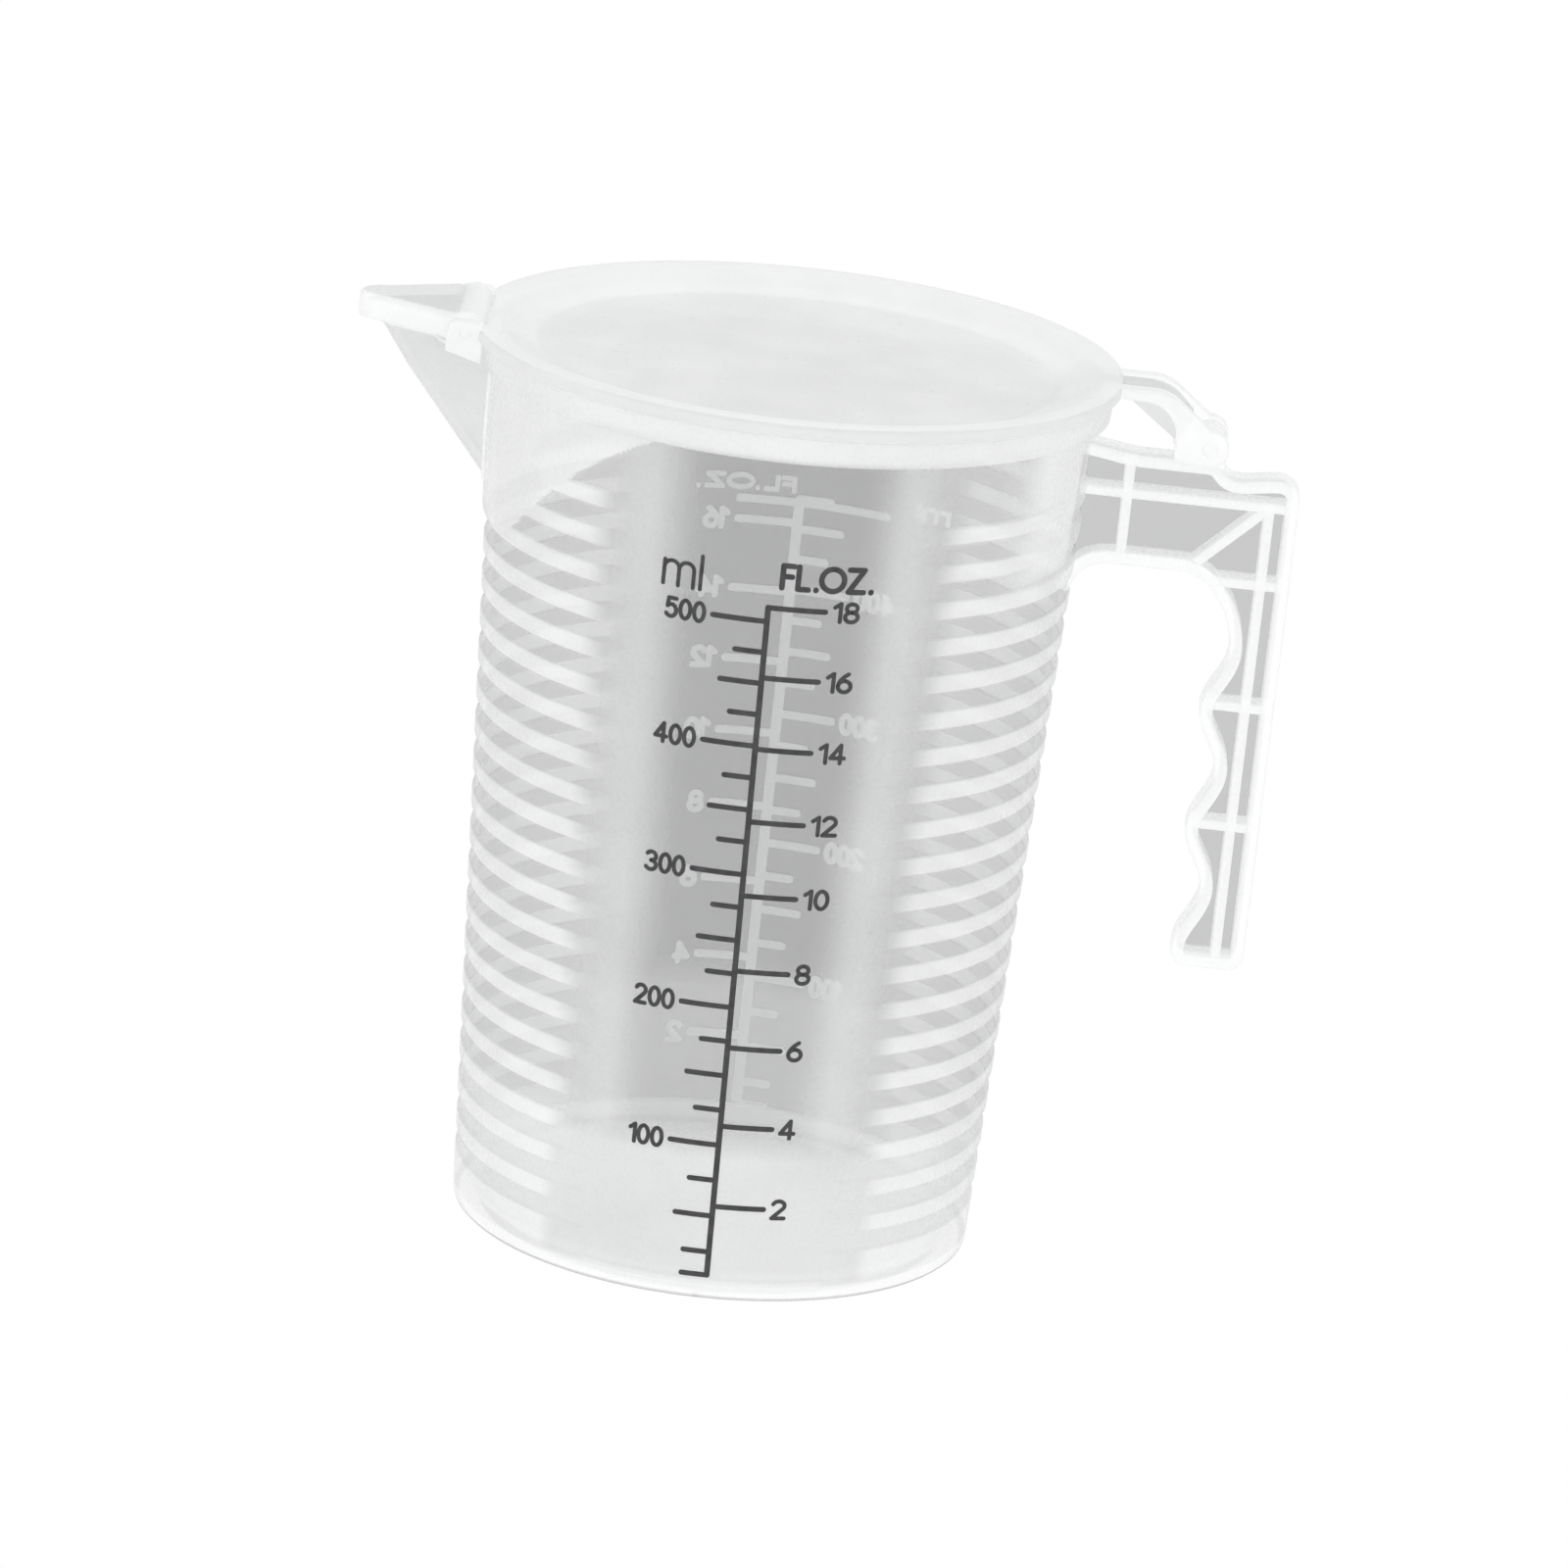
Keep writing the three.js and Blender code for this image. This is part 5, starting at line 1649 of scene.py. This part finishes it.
    def tail(self, pieces: Patchwork) -> None:
        """Add two cheeks from the flange over an elbow to the knuckles, and a thin plate and a brace between.

        A cheek's outline runs along its top, down to and round the knuckle, and back up under the gusset.

        Args:
            pieces: Patchwork that they go into.
        """
        x, z = self.axis
        top, under = self.seat + self.rail, self.seat + self.tail_lift
        elbow, start, gusset = x - self.elbow_back, self.radius - self.rim_width, x - self.gusset_back
        below, above = self.gusset_reach
        knuckle = arc(self.axis, (self.knuckle_radius, self.knuckle_radius), 95, -110, 28)
        upper = np.array([(start, top), (elbow, top), knuckle[0]])
        lower = np.array([knuckle[-1], (gusset, z - below), (gusset, z + above), (elbow - self.elbow_under, under),
                          (start, under)])
        repeats = SOFT_STEPS - 1
        outline = np.concatenate([
            softened(upper, self.elbow_round, closed=False)[repeats:],
            knuckle[1:-1],
            softened(lower, np.array(self.lower_rounds), closed=False)[repeats:-repeats],
        ])
        inner = self.tail_half - self.rail_width
        for side in (-1, 1):
            insets, heights = rounded_ends(*sorted((side * inner, side * self.tail_half)), self.cheek_round)
            pieces.stack(outline, insets, heights, 1.0, Plane.SIDE)
        brace = np.array([(start, under), (gusset, z), (gusset, z), (elbow, under)]) + np.array(self.brace)
        brace_sides = np.array([-self.brace_half, self.brace_half])
        pieces.stack(brace, np.zeros(2), brace_sides, self.brace_milk, Plane.SIDE)
        middle = self.seat + self.rail / 2
        corners = np.array([(start, middle), (elbow, middle), self.axis])
        bend = softened(corners, self.plate_bend, closed=False, steps=CORNER_STEPS)
        points, kept = self.plate_points
        line = resampled(bend, points)[:kept]
        section = round_bar(inner + self.plate_sink, self.plate, self.plate_round)
        pieces.sweep(line - right_normals(line) * self.plate / 2, section, self.plate_milk)

    def ears(self, pieces: Patchwork) -> None:
        """Add the two ears that carry the cover's pin.

        Args:
            pieces: Patchwork that they go into.
        """
        x, z = self.cover_axis
        outer, inner, top = x - self.ear_radius, self.notch - self.ear_inset, z + self.ear_above
        outer_foot, inner_foot = (z - below for below in self.ear_below)
        block = np.concatenate([
            np.array([(outer, outer_foot), (inner, inner_foot), (inner, top - self.ear_chamfer),
                      (inner - self.ear_chamfer, top)]),
            arc((outer + self.ear_above, z), (self.ear_above, self.ear_above), 90, 180, CORNER_STEPS),
        ])
        end, tab_top = x + self.ear_tab, self.seat + self.flange - self.tab_sink
        tab = np.array([(x, self.seat), (end, self.seat), (end, tab_top), (x, tab_top)])
        for side in (-1, 1):
            reach = sorted((side * self.notch_half, side * (self.notch_half + self.ear_width)))
            pieces.stack(block, *rounded_ends(*reach, self.ear_round), 1.0, Plane.SIDE)
            tab_sides = np.array(reach) + np.array([self.tab_inset, -self.tab_inset])
            pieces.stack(tab, np.zeros(2), tab_sides, 1.0, Plane.SIDE)

    def build(self, material: bpy.types.Material) -> None:
        """Make the lid and the two hinge pins.

        Args:
            material: Their finish.
        """
        lid = Patchwork()
        self.disc(lid)
        self.tail(lid)
        self.ears(lid)
        lid.make("lid_disc", material, Body.LID, Slot.MILKY, "lid")
        lid_round, cover_round = self.pin_rounds
        lid_reach = self.tail_half + self.pin_proud
        lid_pin = Patchwork()
        round_pin(lid_pin, self.axis, self.pin_radius, (-lid_reach, lid_reach), lid_round)
        lid_pin.make("lid_pin", material, Body.JUG, Slot.MILKY, "lid_hinge_pin")
        reach = self.notch_half + self.ear_width + self.pin_proud
        cover_pin = Patchwork()
        round_pin(cover_pin, self.cover_axis, self.cover_pin_radius, (-reach, reach), cover_round)
        cover_pin.make("cover_pin", material, Body.LID, Slot.MILKY, "spout_hinge_pin")


@dataclass
class SpoutCover:
    """Flip-up cap over the spout: a plate with a skirt, a round nose and a knuckle between the lid's ears.

    Attributes:
        axis: Hinge axis in X and Z.
        bottom: Height of the skirt's edge.
        height: Height of the cap.
        root: X of the end beside the ears.
        root_half: Half width at the root.
        tip: X of the nose.
        tip_half: Half width behind the nose.
        fullness: How square the nose is.
        plate: Thickness of the top.
        skirt: Thickness of the skirt.
        knuckle_radius: Radius of the knuckle.
        knuckle_half: Half length of the knuckle.
        edge: Rounding of the top edge.
        skirt_edge: Chamfer of the skirt's edge.
        knuckle_round: Rounding of the knuckle's ends.
        top_milk: Milkiness of the top's thin plate.
    """

    axis: tuple[float, float]
    bottom: float = 131.65
    height: float = 3.85
    root: float = -50.787
    root_half: float = 9.1
    tip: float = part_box("spout_cover")[0].x / MM
    tip_half: float = 3.8
    fullness: float = 0.75
    plate: float = 1.4
    skirt: float = 1.2
    knuckle_radius: float = 2.5
    knuckle_half: float = 9.4
    edge: float = 0.9
    skirt_edge: float = 0.2
    knuckle_round: float = 0.4
    top_milk: float = 0.5

    def outline(self) -> Array:
        """Plan of the cap: straight sides that close in from the knuckle to a round nose.

        A cubic curve reaches three quarters of the way to its controls, so these lie a third beyond the nose.

        Returns:
            Points in X and Y.
        """
        shoulder, control = self.tip + self.tip_half, self.tip - self.tip_half / 3
        nose_half = self.fullness * self.tip_half
        nose = bezier([(shoulder, self.tip_half), (control, nose_half), (control, -nose_half),
                       (shoulder, -self.tip_half)], 24)
        side = np.linspace(0.0, 1.0, 12)[:-1, None]
        root, tip = np.array([self.root, self.root_half]), np.array([shoulder, self.tip_half])
        upper = np.concatenate([[(self.axis[0], self.root_half)], root + side * (tip - root)])
        return np.concatenate([upper, nose, upper[::-1] * np.array([1.0, -1.0])])

    def build(self, material: bpy.types.Material) -> None:
        """Make the cap with its hollow underside, and its knuckle.

        Args:
            material: Their finish.
        """
        top = self.bottom + self.height
        under = top - self.plate
        turn = np.linspace(0.0, math.pi / 2, 6)
        inner = self.skirt + self.edge / 3
        chamfer, thin = self.skirt_edge, self.top_milk
        skirt_insets = [inner + END_RING, inner, self.skirt, self.skirt, self.skirt - chamfer, chamfer, 0.0]
        above = self.bottom + chamfer
        skirt_heights = [under, under, under - self.edge / 3, above, self.bottom, self.bottom, above]
        insets = np.concatenate([skirt_insets, self.edge * (1 - np.cos(turn)), [self.edge + END_RING]])
        heights = np.concatenate([skirt_heights, top - self.edge + self.edge * np.sin(turn), [top]])
        milk = np.concatenate([[thin, thin, 0.8, 0.95, 1.0, 1.0, 1.0], np.linspace(1.0, thin, len(turn)), [thin]])
        cap = Patchwork()
        cap.stack(self.outline(), insets, heights, milk[:, None], Plane.PLAN)
        round_pin(cap, self.axis, self.knuckle_radius, (-self.knuckle_half, self.knuckle_half),
                  self.knuckle_round)
        cap.make("spout_cap", material, Body.SPOUT_COVER, Slot.MILKY, "spout_cover")


@dataclass
class Studio:
    """White table, soft light and the camera of the photograph.

    Attributes:
        azimuth: Turn of the camera about the jug in degrees.
        elevation: Height of the camera above the horizon in degrees.
        roll: Roll of the camera in degrees.
        distance: Distance from the camera to the point that it looks at, in metres.
        target: Point that it looks at, in metres.
        focal_pixels: Focal length in pixels of a square picture.
        picture: Width of that picture in pixels.
        sensor: Width of the sensor in millimetres.
        sky: Strength of the light from the horizon and from overhead.
        whiteness: Share of plain white in the table that the camera sees; the rest keeps the shadow.
        table_half: Half width of the table in metres.
        table_tone: Grey of the table.
        clip: Nearest and farthest distance that the camera sees, in metres.
        layers: Number of see-through surfaces that a ray may pass.
        lamps: Place, width in metres and power in watts of each lamp.
    """

    azimuth: float = 0.46527
    elevation: float = 17.11696
    roll: float = 6.02952
    distance: float = 1.19574
    target: tuple[float, float, float] = (0.004476, 0.0, 0.067426)
    focal_pixels: float = 8276.1
    picture: float = 1600.0
    sensor: float = 36.0
    sky: tuple[float, float] = (1.0, 1.04)
    whiteness: float = 0.96
    table_half: float = 4.0
    table_tone: float = 0.96
    clip: tuple[float, float] = (0.05, 50.0)
    layers: int = 64
    lamps: tuple[tuple[tuple[float, float, float], float, float], ...] = (
        ((0.3, -1.3, 0.7), 0.8, 1.5),
        ((0.2, 1.5, 0.3), 0.9, 5.0),
    )

    def camera(self) -> None:
        """Place the camera on a sphere round its target and roll it about its line of sight."""
        turn, rise, roll = (math.radians(value) for value in (self.azimuth, self.elevation, self.roll))
        back = Vector((math.sin(turn) * math.cos(rise), -math.cos(turn) * math.cos(rise), math.sin(rise)))
        right = (-back).cross(Vector((0.0, 0.0, 1.0))).normalized()
        up = right.cross(-back)
        rolled_right = math.cos(roll) * right + math.sin(roll) * up
        rolled_up = -math.sin(roll) * right + math.cos(roll) * up
        data = bpy.data.cameras.new("camera")
        data.sensor_width = self.sensor
        data.lens = self.focal_pixels / self.picture * self.sensor
        data.clip_start, data.clip_end = self.clip
        camera = bpy.data.objects.new("camera", data)
        place = Vector(self.target) + back * self.distance
        turned = Matrix((rolled_right, rolled_up, back)).transposed().to_4x4()
        camera.matrix_world = Matrix.Translation(place) @ turned
        bpy.context.scene.collection.objects.link(camera)
        bpy.context.scene.camera = camera

    @staticmethod
    def seen(graph: NodeGraph) -> bpy.types.NodeSocket:
        """One for rays that show the background: from the camera, off gloss or through plastic."""
        path = graph.add("ShaderNodeLightPath")
        shown = graph.larger(path.outputs["Is Camera Ray"], path.outputs["Is Glossy Ray"])
        return graph.larger(shown, path.outputs["Is Transmission Ray"])

    def world(self) -> None:
        """Soft light from all around, strongest from the sides, which shows as plain white."""
        world = bpy.data.worlds.new("studio")
        world.use_nodes = True
        graph = NodeGraph(world.node_tree)
        direction = graph.add("ShaderNodeTexCoord").outputs["Generated"]
        upwards = graph.add("ShaderNodeSeparateXYZ", {0: direction}).outputs["Z"]
        sky = graph.ranged(upwards, (0.0, 1.0), self.sky)
        strength = graph.ranged(self.seen(graph), (0.0, 1.0), (sky, 1.0))
        light = graph.add("ShaderNodeBackground", {"Color": (1.0, 1.0, 1.0, 1.0), "Strength": strength})
        graph.add("ShaderNodeOutputWorld", {"Surface": light.outputs[0]})
        bpy.context.scene.world = world

    def table(self) -> None:
        """White table top that keeps a soft shadow."""
        half, tone = self.table_half, self.table_tone
        corners = [(-half, -half, 0), (half, -half, 0), (half, half, 0), (-half, half, 0)]
        mesh = bpy.data.meshes.new("table")
        mesh.from_pydata(corners, [], [(0, 1, 2, 3)])
        made = bpy.data.materials.new("white_table")
        made.use_nodes = True
        graph = NodeGraph(made.node_tree)
        paper = graph.add("ShaderNodeBsdfDiffuse", {"Color": (tone, tone, tone, 1.0)})
        plain = graph.add("ShaderNodeEmission", {"Color": (1.0, 1.0, 1.0, 1.0), "Strength": 1.0})
        share = graph.ranged(self.seen(graph), (0.0, 1.0), (0.0, self.whiteness))
        mixed = graph.add("ShaderNodeMixShader", {0: share, 1: paper.outputs[0], 2: plain.outputs[0]})
        graph.add("ShaderNodeOutputMaterial", {"Surface": mixed.outputs[0]})
        mesh.materials.append(made)
        table = bpy.data.objects.new("table", mesh)
        bpy.context.scene.collection.objects.link(table)

    def light(self) -> None:
        """Hang the soft lamps, each turned to the jug."""
        for number, (place, width, power) in enumerate(self.lamps):
            data = bpy.data.lights.new(f"lamp_{number}", "AREA")
            data.shape = "DISK"
            data.size = width
            data.energy = power
            lamp = bpy.data.objects.new(f"lamp_{number}", data)
            lamp.location = place
            lamp.visible_glossy = False
            lamp.rotation_euler = (Vector(self.target) - Vector(place)).to_track_quat("-Z", "Y").to_euler()
            bpy.context.scene.collection.objects.link(lamp)

    def build(self) -> None:
        """Set up the picture."""
        scene = bpy.context.scene
        scene.view_settings.view_transform = "Standard"
        scene.cycles.transparent_max_bounces = self.layers
        self.camera()
        self.world()
        self.table()
        self.light()
        LOG.info("studio: camera, table and %d lamps", len(self.lamps))


def hinge_axis(joint: str) -> tuple[float, float]:
    """X and Z of a hinge of the frame in millimetres."""
    place = next(row["pos_m"] for row in frame["joints"] if row["name"] == joint)
    return place[0] / MM, place[2] / MM


def main() -> None:
    """Build the jug, the lid, the spout cover and the studio."""
    logging.basicConfig(level=logging.INFO, format="%(name)s: %(message)s")
    clear = TranslucentPlastic("clear_polypropylene").material()
    milky = TranslucentPlastic("milky_polypropylene", roughness=(0.26, 0.42), shade=0.3).material()
    ink = PrintInk("scale_ink").material()
    wall = Wall()
    lid_axis = hinge_axis("lid_hinge")
    cover_axis = hinge_axis("spout_cover_hinge")
    Vessel(wall).build(clear)
    Spout(wall).build(clear)
    Handle(wall, lid_axis).build(clear)
    front_units = (("ml", 4.9, 5.1, 0.58, (-15.2, 107.5)), ("FL.OZ.", 3.3, 3.4, 0.8, (1.6, 109.35)))
    Scale(wall, Side.FRONT, (1.1, 0.0), 500, 18, (0.02, 0.12), 0.6, front_units).build(
        "scale_print", ink, Slot.INK, "printed_scale")
    back_units = (("ml", 2.4, 4.4, 0.75, (-24.6, 99.9)), ("FL.OZ.", 1.9, 3.9, 0.75, (-1.0, 100.6)))
    Scale(wall, Side.BACK, (-2.0, -2.0), 475, 16, (-0.3, 0.45), 0.9, back_units, spine_width=1.6, tick=1.2,
          tick_lengths=(8.4, 6.5, 4.6), ounce_length=8.8, crown=3.2).build("raised_scale", clear, Slot.CLEAR)
    Lid(lid_axis, cover_axis).build(milky)
    SpoutCover(cover_axis).build(milky)
    Studio().build()


if __name__ == "__main__":
    main()
